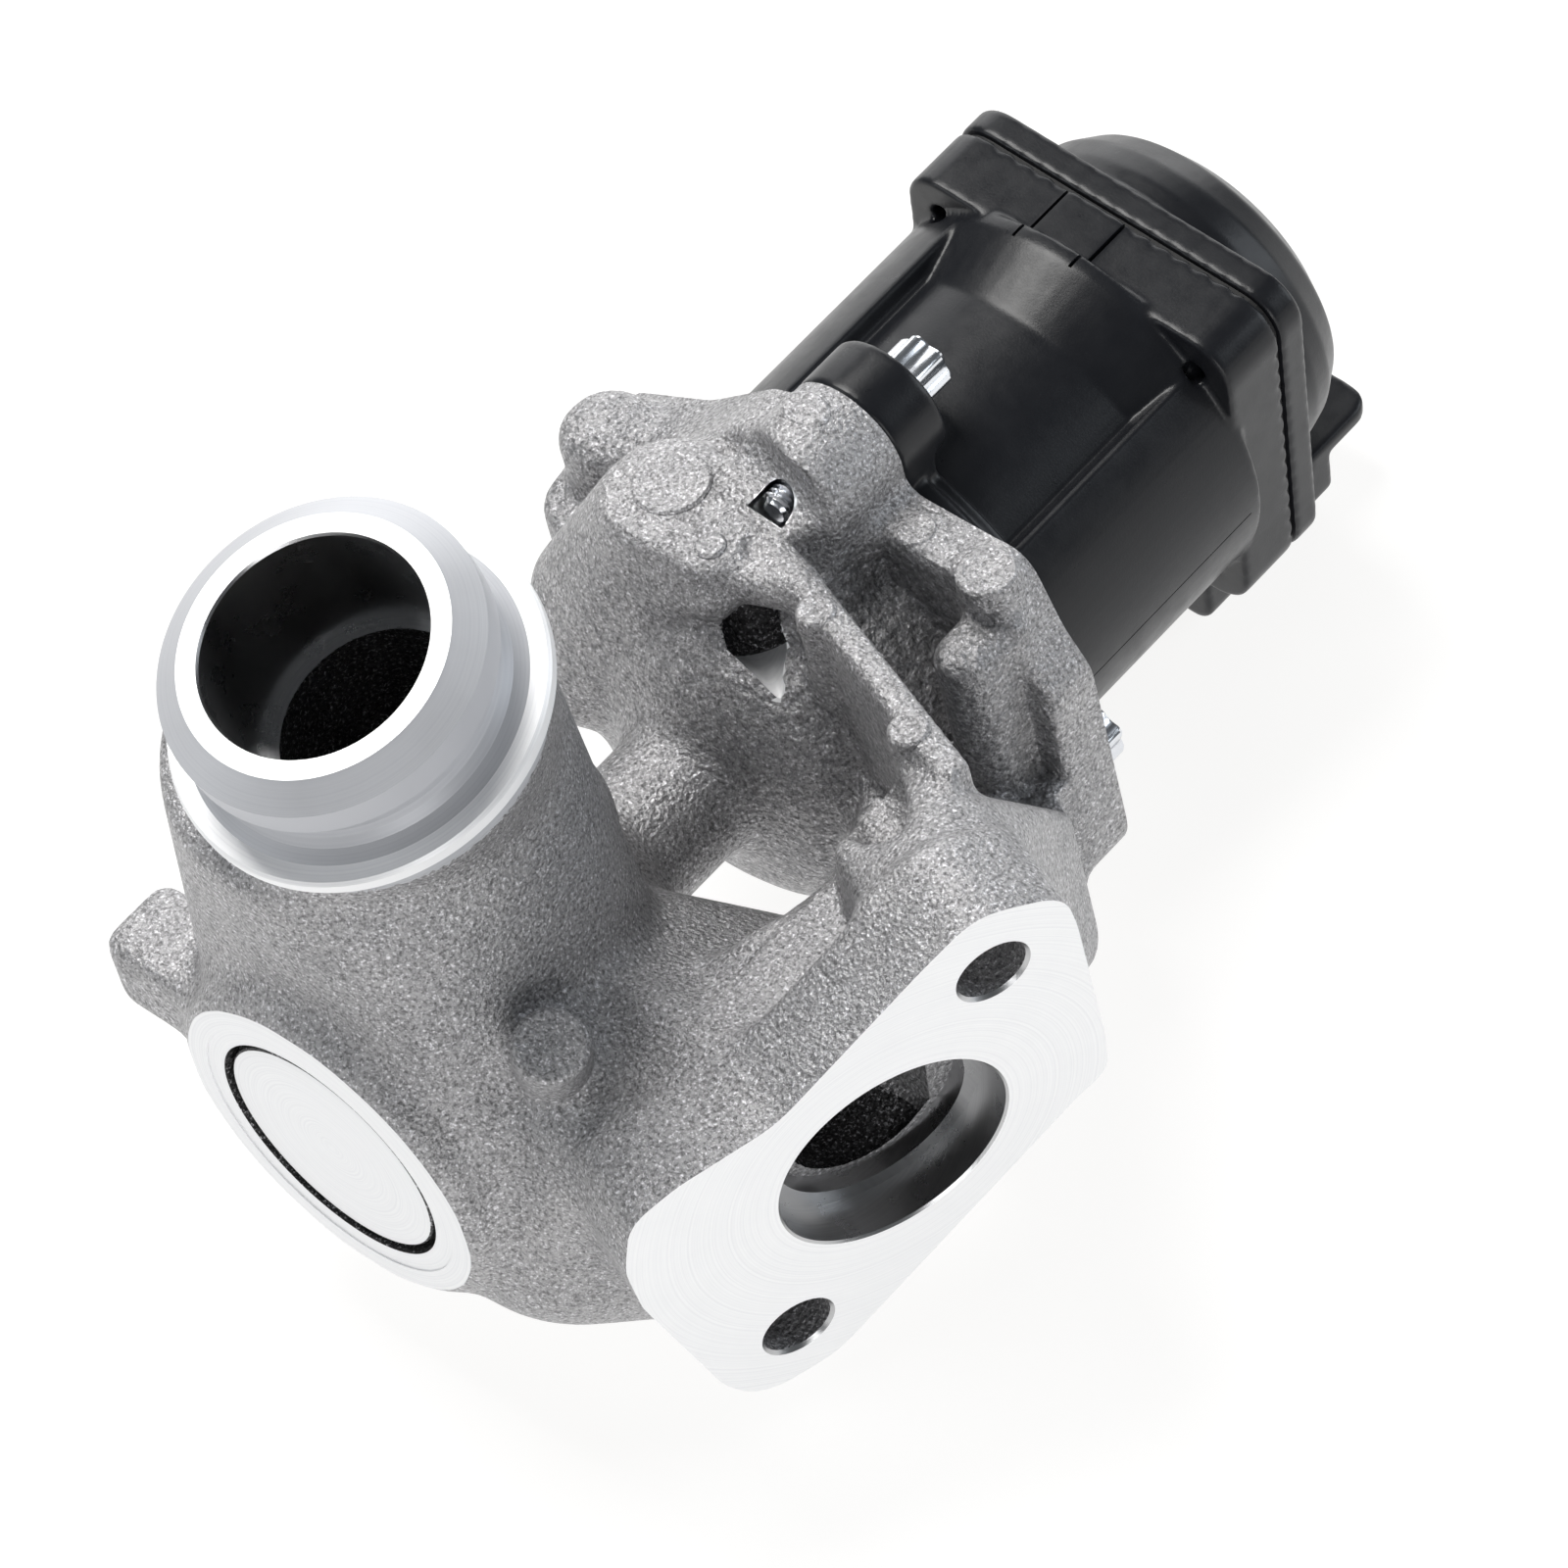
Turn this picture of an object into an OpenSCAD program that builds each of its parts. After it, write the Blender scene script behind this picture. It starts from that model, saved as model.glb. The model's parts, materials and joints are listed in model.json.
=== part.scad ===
/* [Valve body casting] */
// Radius of the machined rim around the core plug
rim_r = 25; // [24:0.5:27]
// Largest outer radius of the bulb that holds the outlet chamber
bulb_r = 33; // [31:0.5:35]
// Radius of the cast outlet chamber
chamber_r = 26; // [22:0.5:27]
// Outer radius of the stem neck between the bulb and the upper bowl
neck_r = 10; // [9.5:0.5:12]
// Outer radius of the upper bowl around the return spring
bowl_r = 28; // [26:0.5:30]
// Distance from the core plug to the actuator mounting face
mount_y = 105; // [104:0.5:106]

/* [Outlet spigot] */
// Distance along the motor axis at which the spigot axis crosses it
spigot_y = 42; // [41:0.5:43]
// Lean of the spigot towards the plug end, in degrees
spigot_lean = 14.5; // [12:0.5:16]
// Outside radius of the clamp rim
spigot_rim_r = 21.2; // [20.5:0.1:22]
// Radius of the machined outlet bore
spigot_bore_r = 14.8; // [14:0.1:15.5]
// Distance from the motor axis to the end face of the spigot
spigot_len = 80.5; // [78:0.5:84]

/* [Inlet flange] */
// Radius of the machined inlet port
port_r = 16; // [15:0.1:16.5]
// Distance from the port centre to each bolt hole
bolt_off = 31.7; // [31:0.1:32.5]
// Radius of each bolt hole
bolt_r = 4.8; // [4.4:0.1:5]
// Thickness of the flange plate
flange_t = 13; // [11:0.5:15]

/* [Actuator] */
// Outside radius of the motor housing
motor_r = 30; // [29.5:0.1:31]
// Radius of the floor of the shallow recess in the housing side
recess_r = 27; // [26.8:0.1:28]
// Half the width of the square end cap
cap_h = 27; // [26:0.5:28]
// Corner radius of the square end cap
cap_corner = 6; // [4:0.5:8]
// Angle of the cap and the ears about the motor axis
clock = 6; // [4:0.5:8]
// Distance of each fixing screw from the motor axis
ear_pcd_r = 35.2; // [35:0.1:36]

/* [Valve train] */
// Radius of the poppet head
poppet_r = 13; // [12.5:0.1:13.4]
// Radius of the valve stem
stem_r = 3; // [2.8:0.05:3.2]
// Wire radius of the return spring
wire_r = 0.9; // [0.7:0.05:1]

/* [Hidden] */
$fn = 64;

// The row origin is the centre of the inlet port; the motor axis runs along Y at this offset.
port_x = 59.5;
port_y = 40;
cap_y0 = 146.5;      // underside of the corner blocks
cap_y1 = 156.7;      // joint between housing and cover
cap_y2 = 161.5;      // outer face of the cover plate
dome_y = 176;        // top of the dome
seat_y0 = 31.5;      // face of the seat ring
seat_y1 = 37;

module place() { translate([-port_x, -port_y, 0]) children(); }
// local Z is the outward normal of the flange, local X runs from the upper to the lower bolt hole
module on_flange() { translate([port_x, port_y, 0]) rotate([0, 96, -20]) rotate([0, 0, -33]) children(); }
// local Z is the spigot axis
module on_spigot() { translate([0, spigot_y, 0]) rotate([spigot_lean, 0, 0]) children(); }
// round bar along the motor axis
module bar(r, y0, y1) { translate([0, y0, 0]) rotate([-90, 0, 0]) cylinder(r = r, h = y1 - y0); }
module cone(r0, r1, y0, y1) { translate([0, y0, 0]) rotate([-90, 0, 0]) cylinder(r1 = r0, r2 = r1, h = y1 - y0); }
module ring(ro, ri, y0, y1) { difference() { bar(ro, y0, y1); bar(ri, y0 - 1, y1 + 1); } }
// profile of [radius, y] points turned about the motor axis
module turned(p) { rotate([-90, 0, 0]) rotate_extrude() polygon(p); }
// flat outline in X and Z, thick along Y
module slab(y0, y1) { translate([0, y1, 0]) rotate([90, 0, 0]) linear_extrude(y1 - y0) children(); }
module block(a, b) { translate(a) cube([b[0] - a[0], b[1] - a[1], b[2] - a[2]]); }
// axis frame turned about the motor axis, in degrees from Z towards X
module turn(a) { rotate([0, a, 0]) children(); }

// points of a closed outline with every corner rounded to radius p[i][2]
function unit2(v) = v / norm(v);
function corner(a, b, c, r) =
    let (u = unit2(a - b), v = unit2(c - b), h = acos(max(-1, min(1, u * v))) / 2,
         t = r / tan(h), m = unit2(u + v), q = b + m * (r / sin(h)),
         s = atan2((b + u * t - q)[1], (b + u * t - q)[0]),
         e0 = atan2((b + v * t - q)[1], (b + v * t - q)[0]),
         e = e0 - s > 180 ? e0 - 360 : e0 - s < -180 ? e0 + 360 : e0,
         n = 7)
    [for (i = [0 : n]) q + r * [cos(s + (e - s) * i / n), sin(s + (e - s) * i / n)]];
function rounded(p) =
    let (n = len(p))
    [for (i = [0 : n - 1]) for (q = corner([p[(i + n - 1) % n][0], p[(i + n - 1) % n][1]], [p[i][0], p[i][1]],
        [p[(i + 1) % n][0], p[(i + 1) % n][1]], p[i][2])) q];
function square_pts(h, r) = rounded([[h, h, r], [-h, h, r], [-h, -h, r], [h, -h, r]]);

// outline of the flange face, upper bolt on the left, in flange coordinates
flange_pts = [[-44, 5, 7], [-42.5, -8, 7], [-33, -12.5, 10], [-9, -22.5, 10], [0, -33.5, 7], [6, -38, 5], [15, -34.5, 6],
    [22.5, -28.5, 6], [41, -7.5, 6], [45, 0.5, 8], [38, 9.5, 8], [-6, 27, 5], [-9.5, 29.5, 4], [-17, 25, 6], [-38, 10, 6]];
// outline of the actuator mounting plate, X and Z
plate_pts = [[-8, 37, 5], [9, 39, 4], [13, 30.5, 4], [32.5, 30.5, 4], [36, 19, 4], [39.5, 13, 5], [39.5, -22, 9], [30, -31, 12],
    [10, -38, 14], [-16, -38, 14], [-36, -24, 12], [-42, -4, 10], [-38, 17, 5], [-22, 25.5, 10]];

ears = [0, 138, 240];
module fixings() { for (a = ears) turn(clock + a) translate([0, 0, ear_pcd_r]) children(); }

// outer form of the bulb around the outlet chamber
module bulb() {
    turned([[0, 0], [rim_r - 1, 0], [rim_r, 1], [rim_r + 0.3, 4], [rim_r + 3, 7.5], [bulb_r - 2.6, 13],
        [bulb_r - 0.4, 18], [bulb_r, 23], [bulb_r - 0.5, 29], [bulb_r - 2.2, 34], [bulb_r - 6, 40], [bulb_r - 12, 46],
        [bulb_r - 18, 50], [neck_r + 2.6, 52.4], [neck_r + 0.6, 54.4], [0, 54.4]]);
}
// cast form of the arm from the bulb to the inlet flange
module inlet_arm() {
    hull() {
        translate([3, 24.5, 0]) sphere(r = 22, $fn = 36);
        translate([19, 23, -12]) sphere(r = 21.8, $fn = 32);
        on_flange() translate([0, 0, -flange_t + 1]) linear_extrude(1)
            polygon([for (p = rounded(flange_pts)) if (p[0] > -26) p * 0.94]);
    }
}
// broad shoulder between the bulb and the machined collar
module branch() {
    hull() {
        on_spigot() translate([-6, -0.8, 54]) cylinder(r = 25, h = 2.6, $fn = 48);
        turned([[0, 5.5], [24.6, 5.5], [27, 11], [bulb_r - 4.4, 18], [bulb_r - 4, 27], [bulb_r - 5, 34], [bulb_r - 8, 40],
            [bulb_r - 13, 45.4], [0, 46]]);
    }
}
module spigot() {
    on_spigot() rotate_extrude($fn = 96) polygon([[0, 50], [20, 50], [22.3, 58.8], [22.6, 62.8], [23.4, 63.6], [24.3, 63.8], [24.8, 64.3],
        [24.8, 65.9], [24.3, 66.4], [21.6, 66.4], [20.2, 67.6], [19.2, 69.4], [19.2, 72.2], [spigot_rim_r - 0.6, 73.4], [spigot_rim_r, 74],
        [spigot_rim_r, spigot_len - 2.6], [17.6, spigot_len], [0, spigot_len]]);
}
// rounded bowl that holds the return spring, between the neck and the mounting plate
module bowl() {
    turned([[0, 52], [neck_r, 52], [neck_r, 66], [neck_r + 1.2, 68.6], [15, 70], [19, 71], [23.5, 73.6], [26.6, 77.6],
        [bowl_r, 83], [bowl_r, 98], [0, 98]]);
}
// block that joins the flange to the mounting plate, with its ridge along the flange direction
module flange_column() {
    hull() {
        on_flange() translate([0, 0, -flange_t + 1]) linear_extrude(1)
            polygon([for (p = rounded(flange_pts)) if (p[1] > -16 && p[0] < 0) p * 0.96]);
        translate([47, 71, 15]) cylinder(r = 4, h = 18.5, $fn = 24);
        translate([46.5, 59, 8]) cylinder(r = 5, h = 23.5, $fn = 24);
        translate([38, 66, -20]) cylinder(r = 5, h = 34, $fn = 24);
        translate([40, 88, -26]) cylinder(r = 6, h = 34, $fn = 24);
    }
    translate([0, 0, -26]) linear_extrude(36) polygon(rounded([[30, 67, 4], [40, 64, 5], [39, 98, 3], [20, 98, 3], [22, 84, 6]]));
}
// long web that stands on the bowl and runs to the flange block
module webs() {
    translate([-4, 88.6, 4]) rotate([0, 0, -19.3]) cube([58, 3.4, 32]);
    for (p = [[19.5, 80.6], [41.5, 72.8]]) translate([p[0], p[1], 20]) cylinder(r = 2.7, h = 16.4);
    block([-12, 84, 10], [-8.6, 100, 33]);
}
// raised lump with the round pad, over the top of the bowl
module crown() {
    hull() {
        translate([-9, 84.5, 18]) cylinder(r = 8.5, h = 19.2, $fn = 36);
        translate([1.5, 80.5, 20]) cylinder(r = 3.8, h = 16.2, $fn = 24);
        translate([3.6, 88, 20]) cylinder(r = 3, h = 16.2, $fn = 24);
        translate([-24, 80, 12]) sphere(r = 8, $fn = 24);
        translate([-22, 76.5, 2]) sphere(r = 9, $fn = 24);
        translate([-18, 93, 6]) cylinder(r = 6, h = 18, $fn = 24);
        translate([-8, 79.6, 24]) sphere(r = 6.4, $fn = 24);
    }
    translate([-8.6, 85.4, 30]) cylinder(r = 5.2, h = 7.9);
    translate([1.6, 81, 20]) cylinder(r = 2.1, h = 16.6);
}
module mounting_plate() {
    slab(97, mount_y) polygon(rounded(plate_pts));
    fixings() bar(9, 96, mount_y);
    translate([2.6, 100, 38]) cylinder(r = 2.6, h = 6.5);
    // round corner boss with its oval pad at the far left
    translate([-33, 96, 14]) cylinder(r = 6, h = 8.5);
    translate([-33, 96, 21]) cylinder(r = 3.6, h = 2.4);
    translate([-33, 91, -26]) cylinder(r = 7, h = 39.5);
    // upright pad in the pocket
    translate([0, 0, -10]) linear_extrude(35) polygon(rounded([[26.8, 88.2, 4.4], [35.8, 88.2, 4.4], [35.8, 100, 1], [26.8, 100, 1]]));
    translate([30, 99.8, 26]) cylinder(r = 4, h = 5.2);
    translate([18, 100.3, 26]) cylinder(r = 2.7, h = 5);
}
module bulb_details() {
    // square lug on the side away from the flange
    translate([0, 0, -2]) linear_extrude(12.5) polygon(rounded([[-40.8, 2.8, 3], [-24, 2.8, 2], [-24, 15.5, 2], [-40.8, 15.5, 3]]));
    // round datum boss on the upper slope
    translate([27, 18.7, 6]) cylinder(r = 4.9, h = 17.2);
    // raised pad that runs back from the flange to the window
    translate([0, 0, 2]) linear_extrude(17) polygon(rounded([[35.8, 33.5, 3.2], [42.8, 33.5, 3.2], [43.4, 60, 3], [35.8, 58, 3]]));
}
// round passage between two points
module way(a, b, r0, r1) {
    v = b - a;
    translate(a) rotate([0, acos(v[2] / norm(v)), atan2(v[1], v[0])]) cylinder(r1 = r0, r2 = r1, h = norm(v));
}
module gas_ways() {
    // bore for the core plug and the cast outlet chamber
    bar(19, -1, 0.8);
    bar(17.6, -1, 5.5);
    turned([[0, 4.5], [16.4, 4.5], [20, 6.5], [chamber_r - 1.6, 13], [chamber_r, 19], [chamber_r - 0.6, 25],
        [chamber_r - 4, 29.6], [16.4, 31], [0, 31]]);
    // seat bore, throat and the inlet space behind the seat
    bar(15.5, 30, seat_y1);
    bar(12.4, 34, 39);
    turned([[0, 37.6], [14.2, 37.6], [14.8, 38.6], [14.8, 43.5], [12, 46.4], [8, 47.8], [0, 47.8]]);
    // outlet
    on_spigot() { translate([0, 0, 58]) cylinder(r = spigot_bore_r, h = 30); translate([0, 0, 38]) cylinder(r = 13.4, h = 22); }
    way([0, 28.5, 52], [0, 21, 14], 13.4, 12.4);
    // inlet: shallow machined port, then the cast way to the space behind the seat
    on_flange() { translate([0, 0, -6.2]) cylinder(r = port_r, h = 10); translate([0, 0, -9]) cylinder(r = 13.6, h = 8); }
    hull() {
        on_flange() translate([0, 0, -8.6]) cylinder(r = 12.6, h = 0.5, $fn = 40);
        for (z = [-6.5, 6.5]) translate([20, 44, z]) sphere(r = 6, $fn = 24);
    }
    hull() for (z = [-5.5, 5.5]) { translate([20, 44, z]) sphere(r = 5.9, $fn = 24); translate([6, 42.4, z]) sphere(r = 4.8, $fn = 24); }
}
module valve_body() {
    color([0.62, 0.63, 0.64]) place() difference() {
        union() { bulb(); inlet_arm(); branch(); spigot(); bowl(); flange_column(); webs(); crown(); mounting_plate(); bulb_details();
            on_flange() translate([0, 0, -flange_t]) linear_extrude(flange_t) polygon(rounded(flange_pts)); }
        gas_ways();
        on_flange() for (s = [-1, 1]) translate([s * bolt_off, 0, -30]) cylinder(r = bolt_r, h = 40);
        // guide bore, spring space and pilot for the actuator nose
        bar(7, 47, 80);
        turned([[0, 78], [15, 78], [15, 80], [21.4, 86], [22, 92], [22, 100], [0, 100]]);
        bar(22.6, 99, 110);
        // small access window over the spring
        translate([8.4, 84.6, 24]) cylinder(r = 3.9, h = 30);
        translate([8.4, 84.6, 15]) cylinder(r1 = 0, r2 = 3.9, h = 9);
        translate([5.6, 77, 24.5]) rotate([0, 0, -19]) block([-1.5, 0, 0], [6, 12, 10.6]);
        // threaded holes for the fixing screws
        fixings() bar(2.55, 92, 110);
        turn(clock) translate([0, 0, ear_pcd_r]) bar(3, 87, 97);
        // trimmed level with the mounting face
        block([-80, mount_y, -80], [80, mount_y + 30, 80]);
    }
}
module core_plug() {
    color([0.85, 0.86, 0.88]) place() turned([[0, 0.9], [15.4, 0.9], [16.4, 0.2], [17.3, 0.2], [17.54, 0.6], [17.54, 4.6], [16.4, 4.6],
        [16.4, 2.4], [0, 2.4]]);
}
module valve_seat() {
    color([0.55, 0.53, 0.5]) place() turned([[12.3, seat_y0], [15.44, seat_y0], [15.44, seat_y1], [10.8, seat_y1], [10.8, seat_y0 + 1.5]]);
}
module stem_guide() {
    color([0.6, 0.48, 0.34]) place() ring(7, stem_r + 0.05, 50.4, 79);
}
module stem_scraper() {
    color([0.5, 0.5, 0.52]) place() ring(7, stem_r + 0.4, 48.2, 50.4);
}
module stem_seal() {
    color([0.12, 0.12, 0.13]) place() turned([[stem_r + 0.3, 79], [6, 79], [6, 83], [4.8, 83], [4.8, 80.4], [stem_r + 0.4, 80.8]]);
}
module seal_retainer() {
    color([0.7, 0.7, 0.72]) place() turned([[6, 79], [8.5, 79], [8.5, 79.6], [6.6, 79.6], [6.6, 83.7], [stem_r + 0.9, 83.7],
        [stem_r + 0.9, 83], [6, 83]]);
}
module body_gasket() {
    color([0.3, 0.3, 0.3]) place() difference() {
        slab(mount_y, mount_y + 0.8) difference() { circle(r = 29.4); circle(r = 23.6); }
    }
}
// square outline of the cap
module cap_square(h, y0, y1) { turn(clock) slab(y0, y1) polygon(square_pts(h, cap_corner)); }
corner_hole = 21;
module cap_corners() { for (x = [-1, 1]) for (z = [-1, 1]) turn(clock) translate([x * corner_hole, 0, z * corner_hole]) children(); }
module housing_shell() {
    bar(motor_r + 1.6, mount_y + 0.8, mount_y + 3.6);
    bar(motor_r, mount_y + 0.8, cap_y0 + 1.2);
    cap_square(cap_h, cap_y0, cap_y1);
    // ears for the fixing screws
    fixings() bar(9, mount_y, mount_y + 8.5);
    for (a = ears) turn(clock + a) block([-9, mount_y, 22], [9, mount_y + 8.5, ear_pcd_r]);
    // nose that locates in the body
    bar(22.4, mount_y - 5, mount_y + 2);
    // tab moulding in the middle of the upper side
    turn(clock) block([-7, cap_y0 - 0.6, cap_h - 6], [2, cap_y1 - 0.4, cap_h + 0.25]);
}
// outline of the plug shroud, shrunk by e all round
module shroud_outline(e, r) { polygon(rounded([[18 - e, -27.3 - e, r], [18 - e, -38.7 + e, r], [-10 + e, -38.7 + e, r], [-10 + e, -27.3 - e, r]])); }
module connector_body() {
    turn(clock) {
        slab(148, 175) shroud_outline(0, 2.6);
        block([-7, 148.6, -30], [15, 156.4, -25.5]);
        // raised guard behind the plug, with rounded corners
        translate([0, 0, -30.1]) linear_extrude(2.8) polygon(rounded([[-10, 170, 1], [18, 170, 1], [18, 184, 3.4], [-10, 184, 3.4]]));
        // thicker foot of the shroud
        slab(148, 161.8) polygon(rounded([[18.5, -27.6, 1], [18.5, -39.2, 3], [-10.5, -39.2, 3], [-10.5, -27.6, 1]]));
        // latch nose on the outer side
        block([1.5, 168, -40.6], [6.5, 171.4, -38]);
    }
}
module cap_space(y0) {
    difference() {
        turn(clock) slab(y0, cap_y1 + 1) polygon(square_pts(cap_h - 2.6, cap_corner - 2));
        cap_corners() bar(4.2, y0 - 1, cap_y1 + 2);
    }
}
module motor_housing() {
    color([0.07, 0.07, 0.08]) place() difference() {
        union() { housing_shell(); connector_body(); }
        // shallow recess in the upper side, with a flared end under the cap
        difference() {
            turned([[recess_r, 111], [recess_r, 136.5], [motor_r + 0.4, cap_y0], [motor_r + 12, cap_y0], [motor_r + 12, 111]]);
            turn(-28) block([-60, 100, -60], [0, 160, 60]);
            turn(50) block([0, 100, -60], [60, 160, 60]);
            fixings() bar(9, mount_y, mount_y + 8.5);
        }
        // narrow grooves beside the tab and the hook slot under it
        turn(clock) for (x = [-7.4, 2]) block([x, cap_y0 - 1, cap_h - 0.8], [x + 0.4, cap_y1 - 0.3, cap_h + 1]);
        turn(clock) block([-4.6, cap_y0 - 1.2, cap_h - 1.4], [-0.4, cap_y0 + 1.2, cap_h + 1.6]);
        // motor space
        bar(24.3, 117.2, 143.2);
        bar(24.6, 143.2, 152.7);
        cap_space(152.6);
        // bearing seat, bore of the guide bush and the hollow of the nose
        ring(29.5, 23.5, mount_y - 1, mount_y + 0.8);
        turn(clock) slab(cap_y1 - 0.9, cap_y1 + 0.4) difference() { polygon(square_pts(cap_h - 0.86, cap_corner - 0.86)); polygon(square_pts(cap_h - 2.04, cap_corner - 1.84)); }
        bar(10.5, 112, 118);
        bar(8.5, 109.4, 112.5);
        bar(6, mount_y - 6, 112);
        bar(17.5, mount_y - 6, mount_y - 2.4);
        fixings() bar(4.6, mount_y - 1, mount_y + 9);
        cap_corners() bar(1.5, cap_y0 - 1, cap_y1 + 1);
        // connector socket and the way for its terminals
        turn(clock) slab(159, 176) shroud_outline(1.8, 1.4);
        turn(clock) for (i = [-2 : 2]) block([4 + i * 3.8 - 0.4, 151, -33.7], [4 + i * 3.8 + 0.4, 160, -32.3]);
        turn(clock) for (i = [-2 : 2]) block([4 + i * 3.8 - 0.4, 151, -33.7], [4 + i * 3.8 + 0.4, 152.4, -20]);
    }
}
module ear_sleeves() {
    color([0.75, 0.75, 0.77]) place() fixings() ring(4.6, 3.2, mount_y, mount_y + 8.5);
}
module motor_screws() {
    color([0.8, 0.81, 0.83]) place() fixings() {
        bar(2.5, 92.6, mount_y + 9);
        bar(5, mount_y + 8.5, mount_y + 9.9);
        // six-lobed head
        slab(mount_y + 9.8, mount_y + 15.6) union() { circle(r = 3.5); for (a = [0 : 60 : 300]) rotate(a) translate([3.1, 0]) circle(r = 1.1, $fn = 20); }
    }
}
module lower_bearing() {
    color([0.6, 0.6, 0.63]) place() { ring(10.5, 8.9, 112, 117); ring(7.5, 6.05, 112, 117);
        for (a = [0 : 36 : 324]) turn(a) translate([0, 114.5, 8.2]) sphere(r = 1.2, $fn = 20); ring(8.95, 7.45, 116.2, 116.7); ring(8.95, 7.45, 112.3, 112.8); }
}
module upper_bearing() {
    color([0.6, 0.6, 0.63]) place() { ring(10.5, 8.9, 144.6, 149.6); ring(7.5, 6.05, 144.6, 149.6);
        for (a = [0 : 36 : 324]) turn(a) translate([0, 147.1, 8.2]) sphere(r = 1.2, $fn = 20); ring(8.95, 7.45, 148.8, 149.3); ring(8.95, 7.45, 144.9, 145.4); }
}
slots = 12;
module stator_core() {
    color([0.45, 0.46, 0.48]) place() slab(120, 140) difference() {
        circle(r = 24.3);
        difference() { circle(r = 21.2); for (i = [0 : slots - 1]) rotate(i * 360 / slots) translate([13, -1.5]) square([9, 3]);
            difference() { circle(r = 15.4); for (i = [0 : slots - 1]) rotate((i + 0.5) * 360 / slots) translate([10, -0.6]) square([7, 1.2]); } }
        circle(r = 13.9);
    }
}
module stator_coils() {
    color([0.72, 0.36, 0.16]) place() for (i = [0 : slots - 1]) turn(i * 360 / slots + 90) difference() {
        block([-3.1, 118.6, 15.9], [3.1, 141.4, 20.8]);
        block([-1.9, 119.5, 15], [1.9, 140.5, 22]);
    }
}
module coil_insulators() {
    color([0.86, 0.84, 0.78]) place() for (y = [118.8, 140]) ring(23.6, 21.3, y, y + 1.2);
}
module bearing_carrier() {
    color([0.2, 0.2, 0.21]) place() difference() {
        union() { ring(24.55, 10.5, 143.2, 146); ring(13, 10.5, 143.2, 150.2); ring(13, 8, 143.2, 144.6); }
        for (a = [45 : 90 : 315]) turn(a) translate([0, 140, 18.6]) bar(2.6, 0, 20);
    }
}
module rotor_hub() {
    color([0.83, 0.82, 0.78]) place() turned([[4.3, 110.6], [6, 110.6], [6, 117.6], [8.6, 117.6], [8.6, 118.6], [8.15, 118.6], [8.15, 141.6],
        [6, 141.6], [6, 150.6], [4.3, 150.6]]);
}
module rotor_magnet() {
    color([0.18, 0.18, 0.2]) place() ring(13.2, 8.2, 119, 141);
}
module guide_bush() {
    color([0.72, 0.6, 0.4]) place() difference() { bar(6, 103.2, 108.6); turn(0) slab(100, 112) intersection() { circle(r = 4.05); square([8.1, 6.1], center = true); } }
}
module lead_screw() {
    color([0.7, 0.7, 0.73]) place() {
        slab(97, 116) intersection() { circle(r = 4); square([8, 6], center = true); }
        bar(3.2, 115, 166);
        for (i = [0 : 12]) translate([0, 118.4 + i * 2.6, 0]) turned([[3, 0], [3.9, 0.7], [3.9, 1.3], [3, 2]]);
    }
}
module valve_stem() {
    color([0.5, 0.5, 0.52]) place() {
        turned([for (p = [[0, -4.45], [7, -4.45], [poppet_r - 1, -3.65], [poppet_r, -2.25], [poppet_r, -0.95], [11.9, 0.05],
            [9.6, 0.75], [5.2, 2.75], [stem_r + 0.6, 6], [stem_r, 10]]) [p[0], p[1] + seat_y0],
            [stem_r, 92.2], [stem_r - 0.5, 92.2], [stem_r - 0.5, 93.6], [stem_r, 93.6], [stem_r, 96.6], [stem_r - 0.4, 97], [0, 97]]);
    }
}
module stem_keepers() {
    color([0.66, 0.62, 0.5]) place() for (a = [0, 180]) turn(a) difference() {
        turned([[stem_r - 0.5, 92.3], [stem_r - 0.5, 93.5], [stem_r, 93.5], [stem_r, 95.8], [5.4, 95.8], [4.4, 91.2], [stem_r, 91.2], [stem_r, 92.3]]);
        block([-12, 80, -12], [12, 100, 0.25]);
    }
}
module spring_retainer() {
    color([0.68, 0.69, 0.71]) place() turned([[4.43, 91.2], [5.43, 95.8], [6.6, 95.8], [6.4, 94.2], [11.6, 94.2], [11.6, 93], [6.4, 93], [6, 91.2]]);
}
module spring_seat() {
    color([0.66, 0.67, 0.69]) place() turned([[8.7, 78], [12.6, 78], [12.6, 79.2], [8.7, 79.2]]);
}
// wire along a helix, ring by ring
turns = 4;
spring_y0 = 80.1;
spring_y1 = 92.1;
coil_r = 9.8;
steps = 96;
function coil_point(i) = let (a = 360 * turns * i / steps)
    [coil_r * cos(a), spring_y0 + (spring_y1 - spring_y0) * i / steps, coil_r * sin(a)];
module return_spring() {
    color([0.6, 0.61, 0.63]) place() {
        m = 8;
        pts = [for (i = [0 : steps]) let (a = 360 * turns * i / steps, c = coil_point(i))
            for (k = [0 : m - 1]) let (b = 360 * k / m)
                [c[0] + wire_r * cos(b) * cos(a), c[1] + wire_r * sin(b), c[2] + wire_r * cos(b) * sin(a)]];
        polyhedron(points = pts, faces = concat(
            [[for (k = [0 : m - 1]) k]],
            [for (i = [0 : steps - 1]) for (k = [0 : m - 1]) [i * m + k, (i + 1) * m + k, (i + 1) * m + (k + 1) % m, i * m + (k + 1) % m]],
            [[for (k = [m - 1 : -1 : 0]) steps * m + k]]));
    }
}
module sensor_magnet() {
    color([0.25, 0.25, 0.28]) place() ring(4.6, 3.2, 160, 165);
}
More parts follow.
